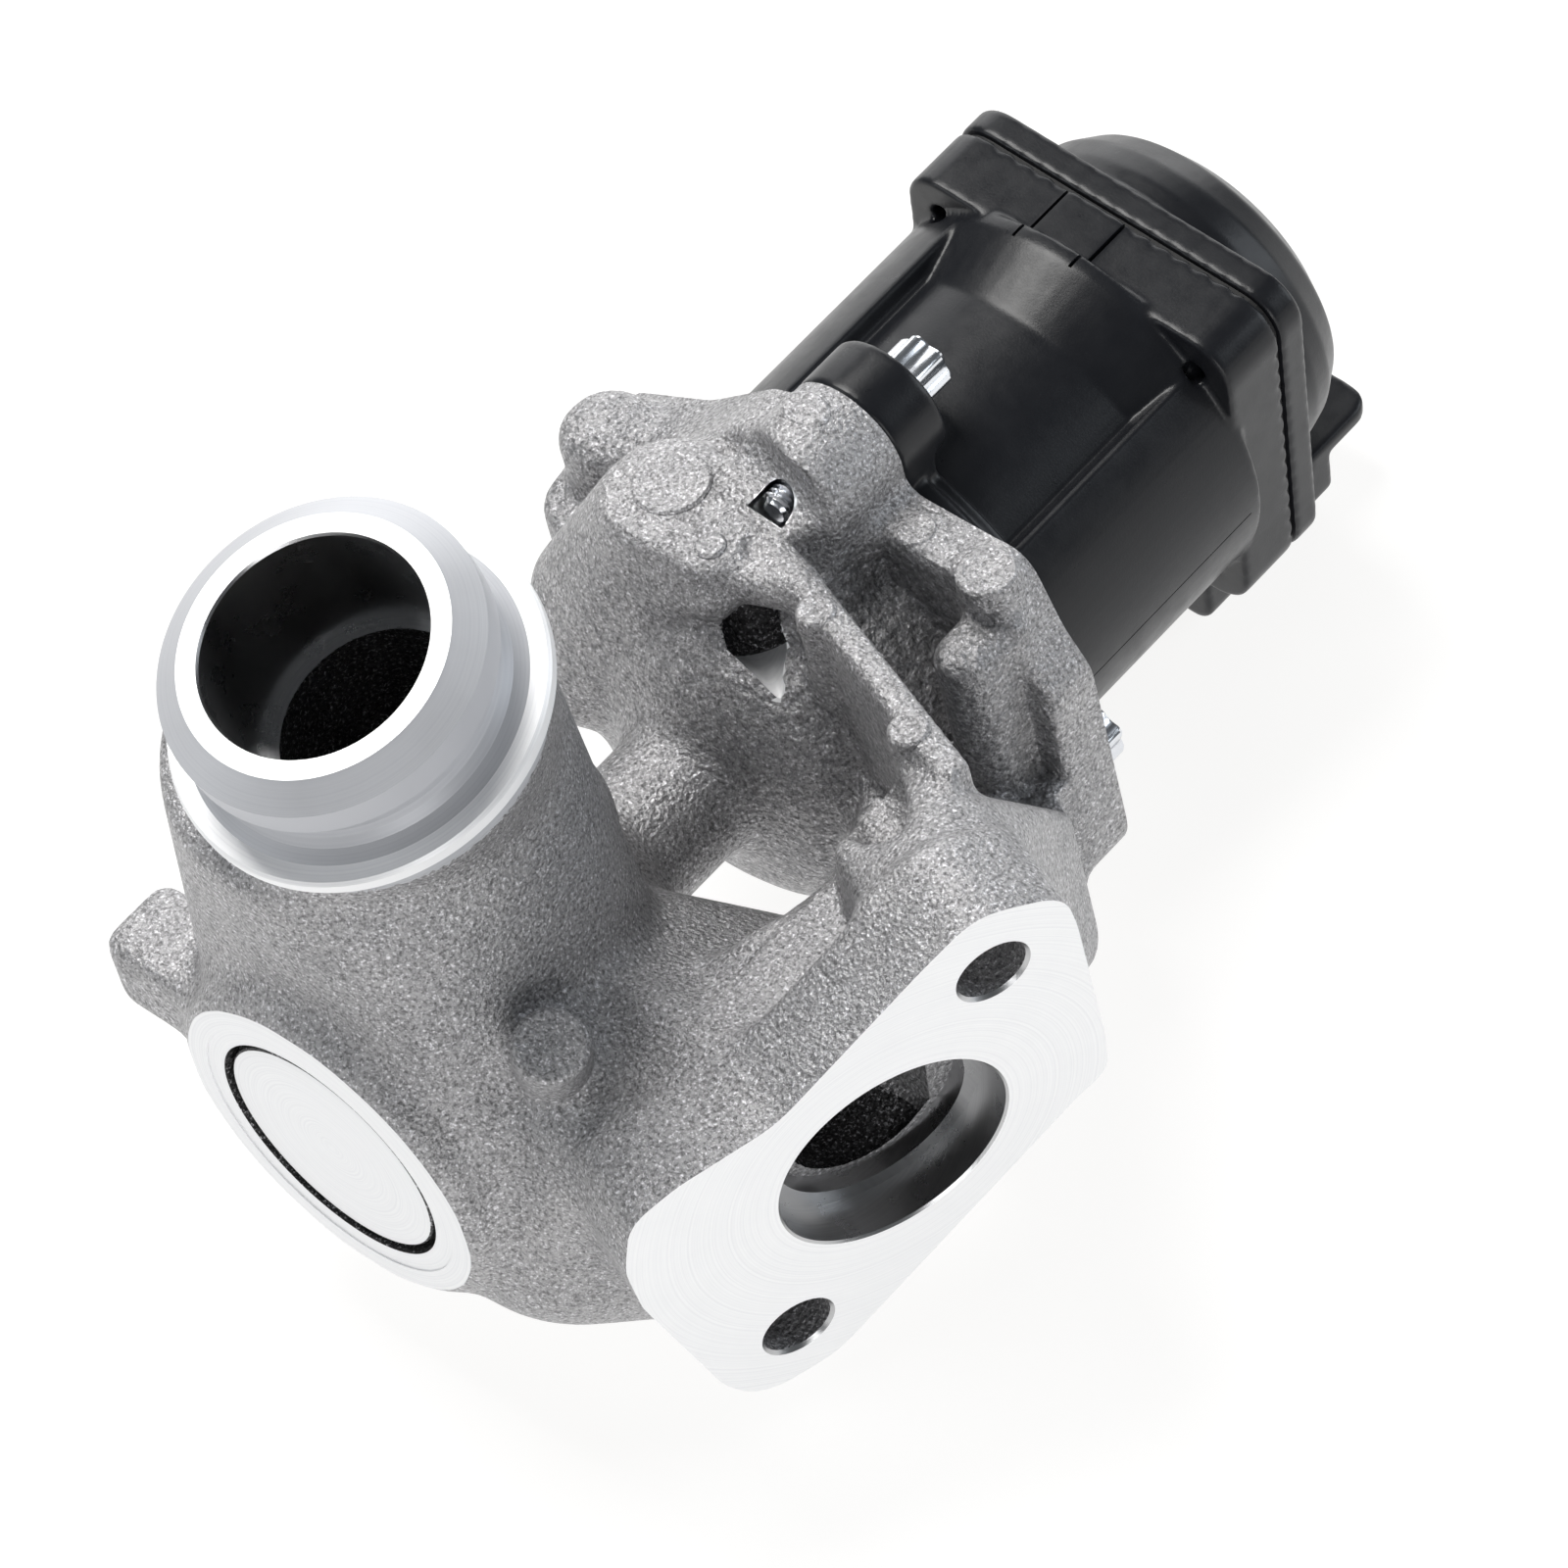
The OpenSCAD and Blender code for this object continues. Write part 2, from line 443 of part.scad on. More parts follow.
module sensor_board() {
    color([0.1, 0.35, 0.2]) place() difference() {
        turn(clock) slab(152.6, 154.2) difference() { polygon(square_pts(22.5, 4)); circle(r = 6.2); for (x = [-1, 1]) for (z = [-1, 1]) translate([x * corner_hole, z * corner_hole]) circle(r = 4.8); }
        turn(clock) for (i = [-2 : 2]) block([4 + i * 3.8 - 0.45, 150, -21.1], [4 + i * 3.8 + 0.45, 156, -19.9]);
    }
}
module hall_sensor() {
    color([0.08, 0.08, 0.09]) place() turn(clock) { block([-2.2, 154.2, 6.8], [2.2, 158.2, 8.4]); block([-10, 154.2, -12], [-3, 155.6, -7]); block([6, 154.2, -14], [12, 155.4, -9]); }
}
module connector_pins() {
    color([0.8, 0.78, 0.7]) place() turn(clock) for (i = [-2 : 2]) union() {
        block([4 + i * 3.8 - 0.35, 151.2, -33.65], [4 + i * 3.8 + 0.35, 170, -32.35]);
        block([4 + i * 3.8 - 0.35, 151.2, -33.65], [4 + i * 3.8 + 0.35, 152.35, -20]);
        block([4 + i * 3.8 - 0.35, 151.2, -21], [4 + i * 3.8 + 0.35, 155, -20]);
    }
}
module cover_seal() {
    color([0.1, 0.1, 0.1]) place() turn(clock) slab(cap_y1 - 0.9, cap_y1 + 0.3) difference() {
        polygon(square_pts(cap_h - 0.9, cap_corner - 0.9)); polygon(square_pts(cap_h - 2, cap_corner - 1.8)); }
}
module cap_cover() {
    color([0.07, 0.07, 0.08]) place() difference() {
        union() {
            cap_square(cap_h, cap_y1 + 0.15, cap_y2);
            turned([[0, cap_y2 - 1], [25.6, cap_y2 - 1], [25.6, cap_y2 + 3], [24.8, 168], [22.4, 172], [18, 174.8], [11, dome_y - 0.2], [0, dome_y]]);
        }
        turned([[0, cap_y1 - 1], [20.8, cap_y1 - 1], [20.8, cap_y1 + 1.4], [23.4, cap_y1 + 4], [23.2, cap_y2 + 4], [20.8, 170], [16.6, 172.4], [10.6, dome_y - 2.4], [0, dome_y - 2.2]]);
        turn(clock) slab(cap_y1, cap_y1 + 0.35) difference() { polygon(square_pts(cap_h - 0.8, cap_corner - 0.8)); polygon(square_pts(cap_h - 2.1, cap_corner - 2)); }
        cap_corners() { bar(1.6, cap_y1 - 2, cap_y2 + 2); bar(3.6, cap_y2 - 1.6, cap_y2 + 12); }
    }
}
module cover_screws() {
    color([0.8, 0.81, 0.83]) place() cap_corners() difference() {
        union() { bar(1.5, cap_y0 + 1.2, cap_y2 - 1); turned([[0, cap_y2 - 1.6], [3.1, cap_y2 - 1.6], [3.1, cap_y2 - 0.6], [2.4, cap_y2 + 0.7], [0, cap_y2 + 0.9]]); }
        slab(cap_y2 - 0.6, cap_y2 + 2) for (a = [0, 60, 120]) rotate(a) square([2.7, 0.9], center = true);
    }
}

valve_body();
core_plug();
valve_seat();
stem_guide();
stem_scraper();
stem_seal();
seal_retainer();
body_gasket();
motor_housing();
ear_sleeves();
motor_screws();
lower_bearing();
stator_core();
stator_coils();
coil_insulators();
upper_bearing();
bearing_carrier();
rotor_hub();
rotor_magnet();
guide_bush();
lead_screw();
valve_stem();
spring_retainer();
stem_keepers();
return_spring();
spring_seat();
sensor_magnet();
sensor_board();
hall_sensor();
connector_pins();
cap_cover();
cover_seal();
cover_screws();
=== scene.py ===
# Visual model of an exhaust gas recirculation valve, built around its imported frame.
import bpy
import json
import math
import numpy as np
import openvdb as vdb
from mathutils import Matrix, Vector


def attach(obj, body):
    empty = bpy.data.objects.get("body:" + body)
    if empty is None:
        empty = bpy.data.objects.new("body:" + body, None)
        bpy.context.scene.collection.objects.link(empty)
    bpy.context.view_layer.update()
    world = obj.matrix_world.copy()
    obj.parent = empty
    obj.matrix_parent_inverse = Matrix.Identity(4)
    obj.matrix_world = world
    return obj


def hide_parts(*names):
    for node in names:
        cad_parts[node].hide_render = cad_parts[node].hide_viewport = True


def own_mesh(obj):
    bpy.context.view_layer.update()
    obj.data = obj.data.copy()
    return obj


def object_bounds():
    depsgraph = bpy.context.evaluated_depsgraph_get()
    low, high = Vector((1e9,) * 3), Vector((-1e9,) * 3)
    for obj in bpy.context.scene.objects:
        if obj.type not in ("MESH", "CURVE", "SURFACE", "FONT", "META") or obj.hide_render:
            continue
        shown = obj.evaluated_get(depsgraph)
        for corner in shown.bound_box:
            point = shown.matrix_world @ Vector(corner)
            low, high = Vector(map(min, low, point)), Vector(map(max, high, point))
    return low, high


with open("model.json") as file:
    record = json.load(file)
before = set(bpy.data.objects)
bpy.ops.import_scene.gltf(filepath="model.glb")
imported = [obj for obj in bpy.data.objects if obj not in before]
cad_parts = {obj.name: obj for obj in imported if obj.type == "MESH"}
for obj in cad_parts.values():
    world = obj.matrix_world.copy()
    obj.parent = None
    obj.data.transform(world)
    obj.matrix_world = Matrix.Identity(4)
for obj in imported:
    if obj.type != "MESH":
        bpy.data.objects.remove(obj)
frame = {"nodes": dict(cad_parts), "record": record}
CAD_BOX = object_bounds()

# ---------------------------------------------------------------- frames
# Working frame: millimetres, motor axis along Y through x = z = 0, core plug face at y = 0.
OFF = np.array([59.5, 40.0, 0.0])


def unit(v):
    v = np.asarray(v, float)
    return v / np.linalg.norm(v)


def rot(axis, deg):
    a, c, s = "xyz".index(axis), math.cos(math.radians(deg)), math.sin(math.radians(deg))
    m = np.eye(3)
    i, j = [(1, 2), (2, 0), (0, 1)][a]
    m[i, i], m[i, j], m[j, i], m[j, j] = c, -s, s, c
    return m


class Local:
    """A local frame: p = R q + o. Columns of R are its axes."""

    def __init__(self, R, o):
        self.R, self.o = np.asarray(R, float), np.asarray(o, float)

    def at(self, *q):
        return self.R @ np.array(q, float) + self.o

    def split(self, X, Y, Z):
        R, o = self.R, self.o
        return [(X - o[0]) * R[0, k] + (Y - o[1]) * R[1, k] + (Z - o[2]) * R[2, k] for k in range(3)]


# flange: Z is the outward normal, X runs from the upper to the lower bolt hole
FL = Local(rot("z", -20) @ rot("y", 96) @ rot("z", -33), OFF)
# spigot: Z is its axis
SP = Local(rot("x", 14.5), [0, 42, 0])
# turned about the motor axis by the clock angle: cap, ears, connector
CLOCK = 6.0
TU = Local(rot("y", CLOCK), [0, 0, 0])
WORLD = Local(np.eye(3), [0, 0, 0])
YUP = Local(np.column_stack([[1, 0, 0], [0, 0, -1], [0, 1, 0]]), [0, 0, 0])  # local z along the motor axis
EARS = (0.0, 138.0, 240.0)
EAR_R = 35.2

# ---------------------------------------------------------------- distance fields


def corner(a, b, c, r, n=7):
    u, v = unit(a - b), unit(c - b)
    h = math.acos(max(-1.0, min(1.0, float(u @ v)))) / 2
    t = r / math.tan(h)
    q = b + unit(u + v) * (r / math.sin(h))
    s0 = b + u * t - q
    e0 = b + v * t - q
    s, e = math.atan2(s0[1], s0[0]), math.atan2(e0[1], e0[0])
    e -= s
    e = e - 2 * math.pi if e > math.pi else e + 2 * math.pi if e < -math.pi else e
    return [q + r * np.array([math.cos(s + e * i / n), math.sin(s + e * i / n)]) for i in range(n + 1)]


def rounded(pts, n=7):
    p = [np.array(q[:2], float) for q in pts]
    out = []
    for i, q in enumerate(pts):
        out += corner(p[i - 1], p[i], p[(i + 1) % len(p)], q[2], n)
    return np.array(out)


def poly_distance(P, U, V):
    """Signed distance to a closed outline, negative inside."""
    d = np.full(np.broadcast(U, V).shape, 1e9, np.float32)
    inside = np.zeros(d.shape, bool)
    n = len(P)
    for i in range(n):
        a, b = P[i], P[(i + 1) % n]
        e = b - a
        l2 = float(e @ e)
        if l2 < 1e-12:
            continue
        pu, pv = U - a[0], V - a[1]
        t = np.clip((pu * e[0] + pv * e[1]) / l2, 0, 1)
        d = np.minimum(d, (pu - e[0] * t) ** 2 + (pv - e[1] * t) ** 2)
        if a[1] != b[1]:
            cross = ((a[1] > V) != (b[1] > V)) & (U < (b[0] - a[0]) * (V - a[1]) / (b[1] - a[1]) + a[0])
            inside ^= cross
    d = np.sqrt(d)
    return np.where(inside, -d, d).astype(np.float32)


class Table:
    """An outline's distance, tabled so that it reads fast anywhere."""

    def __init__(self, P, step=0.4, pad=14):
        P = np.asarray(P, float)
        self.step = step
        self.lo = P.min(0) - pad
        n = np.ceil((P.max(0) + pad - self.lo) / step).astype(int) + 2
        u = self.lo[0] + step * np.arange(n[0])
        v = self.lo[1] + step * np.arange(n[1])
        self.T = poly_distance(P, u[:, None], v[None, :])

    def __call__(self, U, V):
        T, s = self.T, self.step
        u = np.clip((U - self.lo[0]) / s, 0, T.shape[0] - 1.001).astype(np.float32)
        v = np.clip((V - self.lo[1]) / s, 0, T.shape[1] - 1.001).astype(np.float32)
        iu, iv = u.astype(np.int32), v.astype(np.int32)
        fu, fv = u - iu, v - iv
        a = T[iu, iv] * (1 - fv) + T[iu, iv + 1] * fv
        b = T[iu + 1, iv] * (1 - fv) + T[iu + 1, iv + 1] * fv
        return a * (1 - fu) + b * fu


def edge_join(d, w, e):
    """Distance to the overlap of two slabs d and w, with the edge between them rounded by e."""
    a, b = d + e, w + e
    return np.minimum(np.maximum(a, b), 0) + np.hypot(np.maximum(a, 0), np.maximum(b, 0)) - e


def ball(c, r, scale=(1, 1, 1)):
    s = np.array(scale, float)
    m = float(s.min())

    def f(X, Y, Z):
        return (np.sqrt(((X - c[0]) / s[0]) ** 2 + ((Y - c[1]) / s[1]) ** 2 + ((Z - c[2]) / s[2]) ** 2) - r) * m

    return f


def rod(a, b, ra, rb=None):
    """Bar with round ends between two points, its radius going from ra to rb."""
    a, b = np.array(a, float), np.array(b, float)
    rb = ra if rb is None else rb
    ba = b - a
    l2 = float(ba @ ba)

    def f(X, Y, Z):
        px, py, pz = X - a[0], Y - a[1], Z - a[2]
        t = np.clip((px * ba[0] + py * ba[1] + pz * ba[2]) / l2, 0, 1)
        return np.sqrt((px - ba[0] * t) ** 2 + (py - ba[1] * t) ** 2 + (pz - ba[2] * t) ** 2) - (ra + (rb - ra) * t)

    return f


def drum(a, b, ra, rb=None, e=0.5):
    """Flat-ended bar between two points with edges rounded by e."""
    a, b = np.array(a, float), np.array(b, float)
    rb = ra if rb is None else rb
    n = unit(b - a)
    length = float(np.linalg.norm(b - a))
    mid = (a + b) / 2

    def f(X, Y, Z):
        px, py, pz = X - mid[0], Y - mid[1], Z - mid[2]
        t = px * n[0] + py * n[1] + pz * n[2]
        rad = np.sqrt(np.maximum(px * px + py * py + pz * pz - t * t, 0))
        r = (ra + rb) / 2 + (rb - ra) * np.clip(t / length, -0.5, 0.5)
        return edge_join(rad - r, np.abs(t) - length / 2, e)

    return f


def prism(P, w0, w1, local=WORLD, e=0.5, axes=(0, 1, 2), draft=0.0):
    """Outline P in the local axes (u, v), from w0 to w1 along w. draft widens it towards w0."""
    T = Table(P)

    def f(X, Y, Z):
        q = local.split(X, Y, Z)
        u, v, w = (q[k] for k in axes)
        d = T(u, v) - draft * (w1 - w)
        return edge_join(d, np.abs(w - (w0 + w1) / 2) - (w1 - w0) / 2, e)

    return f


def lathe_field(P, pad=14):
    """Solid turned about the motor axis from a closed outline of (radius, y)."""
    Q = np.array(list(P) + [(-r, y) for r, y in reversed(list(P))])
    T = Table(Q, 0.35, pad)
    return lambda X, Y, Z: T(np.sqrt(X * X + Z * Z), Y + 0 * X)


def brick(lo, hi, e=1.0, local=WORLD):
    lo, hi = np.array(lo, float), np.array(hi, float)
    c, h = (lo + hi) / 2, (hi - lo) / 2

    def f(X, Y, Z):
        q = local.split(X, Y, Z)
        d = [np.abs(q[k] - c[k]) - (h[k] - e) for k in range(3)]
        out = np.sqrt(sum(np.maximum(k, 0) ** 2 for k in d))
        return out + np.minimum(np.maximum(np.maximum(d[0], d[1]), d[2]), 0) - e

    return f


def smin(a, b, k):
    if k <= 0:
        return np.minimum(a, b)
    h = np.clip(0.5 + 0.5 * (b - a) / k, 0, 1)
    return b + (a - b) * h - k * h * (1 - h)


class Field:
    """A distance field on a regular grid, in millimetres, negative inside."""

    def __init__(self, lo, hi, h, reach):
        self.h, self.reach = h, reach
        self.i0 = np.floor(np.array(lo) / h).astype(int)
        self.n = np.ceil((np.array(hi) - np.array(lo)) / h).astype(int) + 1
        self.ax = [((self.i0[k] + np.arange(self.n[k])) * h).astype(np.float32) for k in range(3)]
        self.d = np.full(tuple(self.n), reach, np.float32)

    def transform(self):
        return vdb.createLinearTransform(voxelSize=self.h)

    def from_surface(self, V, T=None, Q=None, shift=0.0):
        kw = {}
        if T is not None and len(T):
            kw["triangles"] = np.ascontiguousarray(T, np.uint32)
        if Q is not None and len(Q):
            kw["quads"] = np.ascontiguousarray(Q, np.uint32)
        g = vdb.FloatGrid.createLevelSetFromPolygons(np.ascontiguousarray(V, np.float32), transform=self.transform(), halfWidth=max(3.0, self.reach / self.h), **kw)
        g.copyToArray(self.d, ijk=tuple(int(v) for v in self.i0))
        self.d += shift

    def surface(self, iso=0.0, adaptivity=None):
        g = vdb.FloatGrid(self.reach)
        g.copyFromArray(self.d, ijk=tuple(int(v) for v in self.i0))
        g.transform = self.transform()
        g.gridClass = vdb.GridClass.LEVEL_SET
        if adaptivity:
            return g.convertToPolygons(isovalue=iso, adaptivity=adaptivity)
        p, q = g.convertToQuads(isovalue=iso)
        return p, np.zeros((0, 3), np.uint32), q

    def again(self, iso):
        """Distance measured afresh from the surface at iso, shifted back so that zero is the old zero."""
        p, t, q = self.surface(iso)
        self.from_surface(p, None, q, shift=iso)

    def close(self, r):
        """Fills every inner corner to radius r."""
        self.again(r)

    def open(self, r):
        """Rounds every outer edge to radius r."""
        self.again(-r)

    def part(self, lo, hi, margin):
        s = []
        for k in range(3):
            a = int(np.searchsorted(self.ax[k], lo[k] - margin))
            b = int(np.searchsorted(self.ax[k], hi[k] + margin))
            s.append(slice(max(0, a), max(0, b)))
        return tuple(s), self.ax[0][s[0]][:, None, None], self.ax[1][s[1]][None, :, None], self.ax[2][s[2]][None, None, :]

    def add(self, f, lo, hi, k=0.0):
        s, X, Y, Z = self.part(lo, hi, k + 4)
        self.d[s] = smin(self.d[s], f(X, Y, Z).astype(np.float32), k)

    def cut(self, f, lo, hi, k=0.0):
        s, X, Y, Z = self.part(lo, hi, k + 4)
        self.d[s] = -smin(-self.d[s], f(X, Y, Z).astype(np.float32), k)

    def blur(self, sigma, lo=None, hi=None):
        s = self.part(lo, hi, 0)[0] if lo is not None else (slice(None),) * 3
        a = np.clip(self.d[s], -self.reach, self.reach)
        m = max(1, int(math.ceil(2.6 * sigma / self.h)))
        w = np.exp(-0.5 * (np.arange(-m, m + 1) * self.h / sigma) ** 2)
        w /= w.sum()
        for k in range(3):
            p = np.pad(a, [(m, m) if j == k else (0, 0) for j in range(3)], mode="edge")
            out = np.zeros_like(a)
            for i, wi in enumerate(w):
                sl = [slice(None)] * 3
                sl[k] = slice(i, i + a.shape[k])
                out += np.float32(wi) * p[tuple(sl)]
            a = out
        self.d[s] = a

    def mesh(self, name, iso=0.0, adaptivity=None):
        p, t, q = self.surface(iso, adaptivity)
        return make_mesh(name, p, t, q)


# ---------------------------------------------------------------- meshes


def to_row(V):
    return (np.asarray(V, float) - OFF) / 1000.0


def make_mesh(name, V, tris, quads, flip=False):
    """Object in the row frame from points in the working frame."""
    me = bpy.data.meshes.new(name)
    V = to_row(V)
    tris, quads = np.asarray(tris, int).reshape(-1, 3), np.asarray(quads, int).reshape(-1, 4)
    if flip:
        tris, quads = tris[:, ::-1], quads[:, ::-1]
    me.vertices.add(len(V))
    me.vertices.foreach_set("co", V.astype(np.float32).ravel())
    loops = np.concatenate([tris.ravel(), quads.ravel()])
    starts = np.concatenate([np.arange(len(tris)) * 3, len(tris) * 3 + np.arange(len(quads)) * 4])
    totals = np.concatenate([np.full(len(tris), 3), np.full(len(quads), 4)])
    me.loops.add(len(loops))
    me.loops.foreach_set("vertex_index", loops.astype(np.int32))
    me.polygons.add(len(starts))
    me.polygons.foreach_set("loop_start", starts.astype(np.int32))
    me.polygons.foreach_set("loop_total", totals.astype(np.int32))
    me.update(calc_edges=True)
    me.validate()
    ob = bpy.data.objects.new(name, me)
    bpy.context.scene.collection.objects.link(ob)
    return ob


def volume(ob):
    me = ob.data
    me.calc_loop_triangles()
    v = np.empty(len(me.vertices) * 3, np.float32)
    me.vertices.foreach_get("co", v)
    v = v.reshape(-1, 3).astype(float)
    t = np.empty(len(me.loop_triangles) * 3, np.int32)
    me.loop_triangles.foreach_get("vertices", t)
    t = t.reshape(-1, 3)
    return float(np.einsum("ij,ij->i", v[t[:, 0]], np.cross(v[t[:, 1]], v[t[:, 2]])).sum() / 6)


def outward(ob):
    if volume(ob) < 0:
        ob.data.flip_normals()
    return ob


def node_surface(name):
    me = frame["nodes"][name].data
    me.calc_loop_triangles()
    v = np.empty(len(me.vertices) * 3, np.float32)
    me.vertices.foreach_get("co", v)
    t = np.empty(len(me.loop_triangles) * 3, np.int32)
    me.loop_triangles.foreach_get("vertices", t)
    return v.reshape(-1, 3) * 1000 + OFF, t.reshape(-1, 3)


def revolve(name, P, local=YUP, seg=128, mat=None):
    """Closed solid of (radius, height) points turned about the local z axis. Points at radius 0 close it."""
    P = [(float(r), float(z)) for r, z in P]
    V, rows = [], []
    for r, z in P:
        if r < 1e-6:
            rows.append([len(V)] * seg)
            V.append(local.at(0, 0, z))
        else:
            rows.append(list(range(len(V), len(V) + seg)))
            for i in range(seg):
                a = 2 * math.pi * i / seg
                V.append(local.at(r * math.cos(a), r * math.sin(a), z))
    faces = []
    for a, b in zip(rows, rows[1:] + rows[:1]):
        for i in range(seg):
            j = (i + 1) % seg
            f = [a[i], a[j], b[j], b[i]]
            g = []
            for x in f:
                if x not in g:
                    g.append(x)
            if len(g) >= 3:
                faces.append(g)
    me = bpy.data.meshes.new(name)
    me.from_pydata([tuple(to_row(v)) for v in V], [], faces)
    me.validate()
    ob = bpy.data.objects.new(name, me)
    bpy.context.scene.collection.objects.link(ob)
    outward(ob)
    if mat:
        me.materials.append(mat)
    return ob


def extrude(name, P, w0, w1, local=WORLD, axes=(0, 1, 2), mat=None):
    n = len(P)
    V = []
    for w in (w0, w1):
        for p in P:
            q = [0, 0, 0]
            q[axes[0]], q[axes[1]], q[axes[2]] = p[0], p[1], w
            V.append(local.at(*q))
    faces = [list(range(n))[::-1], list(range(n, 2 * n))] + [[i, (i + 1) % n, n + (i + 1) % n, n + i] for i in range(n)]
    me = bpy.data.meshes.new(name)
    me.from_pydata([tuple(to_row(v)) for v in V], [], faces)
    me.validate()
    ob = bpy.data.objects.new(name, me)
    bpy.context.scene.collection.objects.link(ob)
    outward(ob)
    if mat:
        me.materials.append(mat)
    return ob


def boolean(ob, others, op="DIFFERENCE"):
    """Applies exact booleans with closed cutters, then removes them."""
    for c in others:
        m = ob.modifiers.new("cut", "BOOLEAN")
        m.operation, m.solver, m.object = op, "MANIFOLD", c
        bpy.context.view_layer.update()
        dg = bpy.context.evaluated_depsgraph_get()
        me = bpy.data.meshes.new_from_object(ob.evaluated_get(dg))
        ob.modifiers.clear()
        old = ob.data
        if len(me.polygons) == 0:
            raise RuntimeError("empty boolean " + ob.name + " " + c.name)
        ob.data = me
        me.name = ob.name
        bpy.data.meshes.remove(old)
        bpy.data.objects.remove(c)
    return ob


def smooth(ob, degrees=30):
    me = ob.data
    me.polygons.foreach_set("use_smooth", np.ones(len(me.polygons), bool))
    me.set_sharp_from_angle(angle=math.radians(degrees))
    return ob
# ---------------------------------------------------------------- casting
FLANGE = [[-44, 5, 7], [-42.5, -8, 7], [-33, -12.5, 10], [-9, -22.5, 10], [0, -33.5, 7], [6, -38, 5], [15, -34.5, 6],
          [22.5, -28.5, 6], [41, -7.5, 6], [45, 0.5, 8], [38, 9.5, 8], [-6, 27, 5], [-9.5, 29.5, 4], [-17, 25, 6], [-38, 10, 6]]
PLATE = [[-8, 37, 5], [9, 39, 4], [13, 30.5, 4], [32.5, 30.5, 4], [36, 19, 4], [39.5, 13, 5], [39.5, -22, 9], [30, -31, 12],
         [10, -38, 14], [-16, -38, 14], [-36, -24, 12], [-42, -4, 10], [-38, 17, 5], [-22, 25.5, 10]]
ALONG_Y = (0, 2, 1)
ALL = ([-48, -7, -48], [80, 112, 92])
PORT_DEPTH = 6.2


def step(x, a, b):
    t = np.clip((x - a) / (b - a), 0, 1)
    return (t * t * (3 - 2 * t)).astype(np.float32)


def base_field(h):
    """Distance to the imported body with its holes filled."""
    V, T = node_surface("valve_body")
    f = Field(*ALL, h, 9.5)
    f.from_surface(V, T)
    f.add(drum([0, -3, 0], [0, 8, 0], 21.0, e=0.2), *ALL)
    f.add(drum([0, 7, 0], [0, 31.5, 0], 26.8, e=0.2), *ALL)
    f.add(drum([0, 29, 0], [0, 48, 0], 16.2, e=0.2), *ALL)
    f.add(drum(SP.at(0, 0, 20), SP.at(0, 0, 80), 17, e=0.2), *ALL)
    f.add(drum(FL.at(0, 0, -28), FL.at(0, 0, 3), 17.5, e=0.2), *ALL)
    for s in (-1, 1):
        f.add(drum(FL.at(s * 31.7, 0, -13.2), FL.at(s * 31.7, 0, 3), 6.5, e=0.2), *ALL)
    f.add(prism(rounded(FLANGE), -8, 3, FL, e=0.2), *ALL)
    f.add(drum([0, 76, 0], [0, 108, 0], 25, e=0.2), *ALL)
    f.add(drum([0, 46, 0], [0, 80, 0], 9, e=0.2), *ALL)
    f.add(prism(rounded(PLATE), 99, 108, WORLD, e=0.2, axes=ALONG_Y), *ALL)
    for a in EARS:
        L = Local(rot("y", CLOCK + a), [0, 0, 0])
        f.add(drum(L.at(0, 92, EAR_R), L.at(0, 108, EAR_R), 8.9, e=0.2), *ALL)
    # holes over the spring space and beside it, filled here and cut again exactly
    f.add(drum([8.4, 84.6, 15], [8.4, 84.6, 27.5], 5, e=0.2), *ALL)
    # floor between the web and the flange block
    f.add(prism(rounded([[24, 76, 3], [28, 67, 3], [44, 62, 3], [45, 72, 3], [27, 79, 2]]), -4, 7, WORLD, e=2.0), *ALL, 2)
    # rounded back of the crown, up to the mounting plate
    f.add(prism(rounded([[-31, 6, 4], [-27, 19, 6], [-15, 26.5, 6], [-6, 32, 6], [7, 36, 5], [13, 29, 5], [12, 6, 3]]), 88.5, 100, WORLD, e=3.6, axes=ALONG_Y), *ALL, 3)
    return f


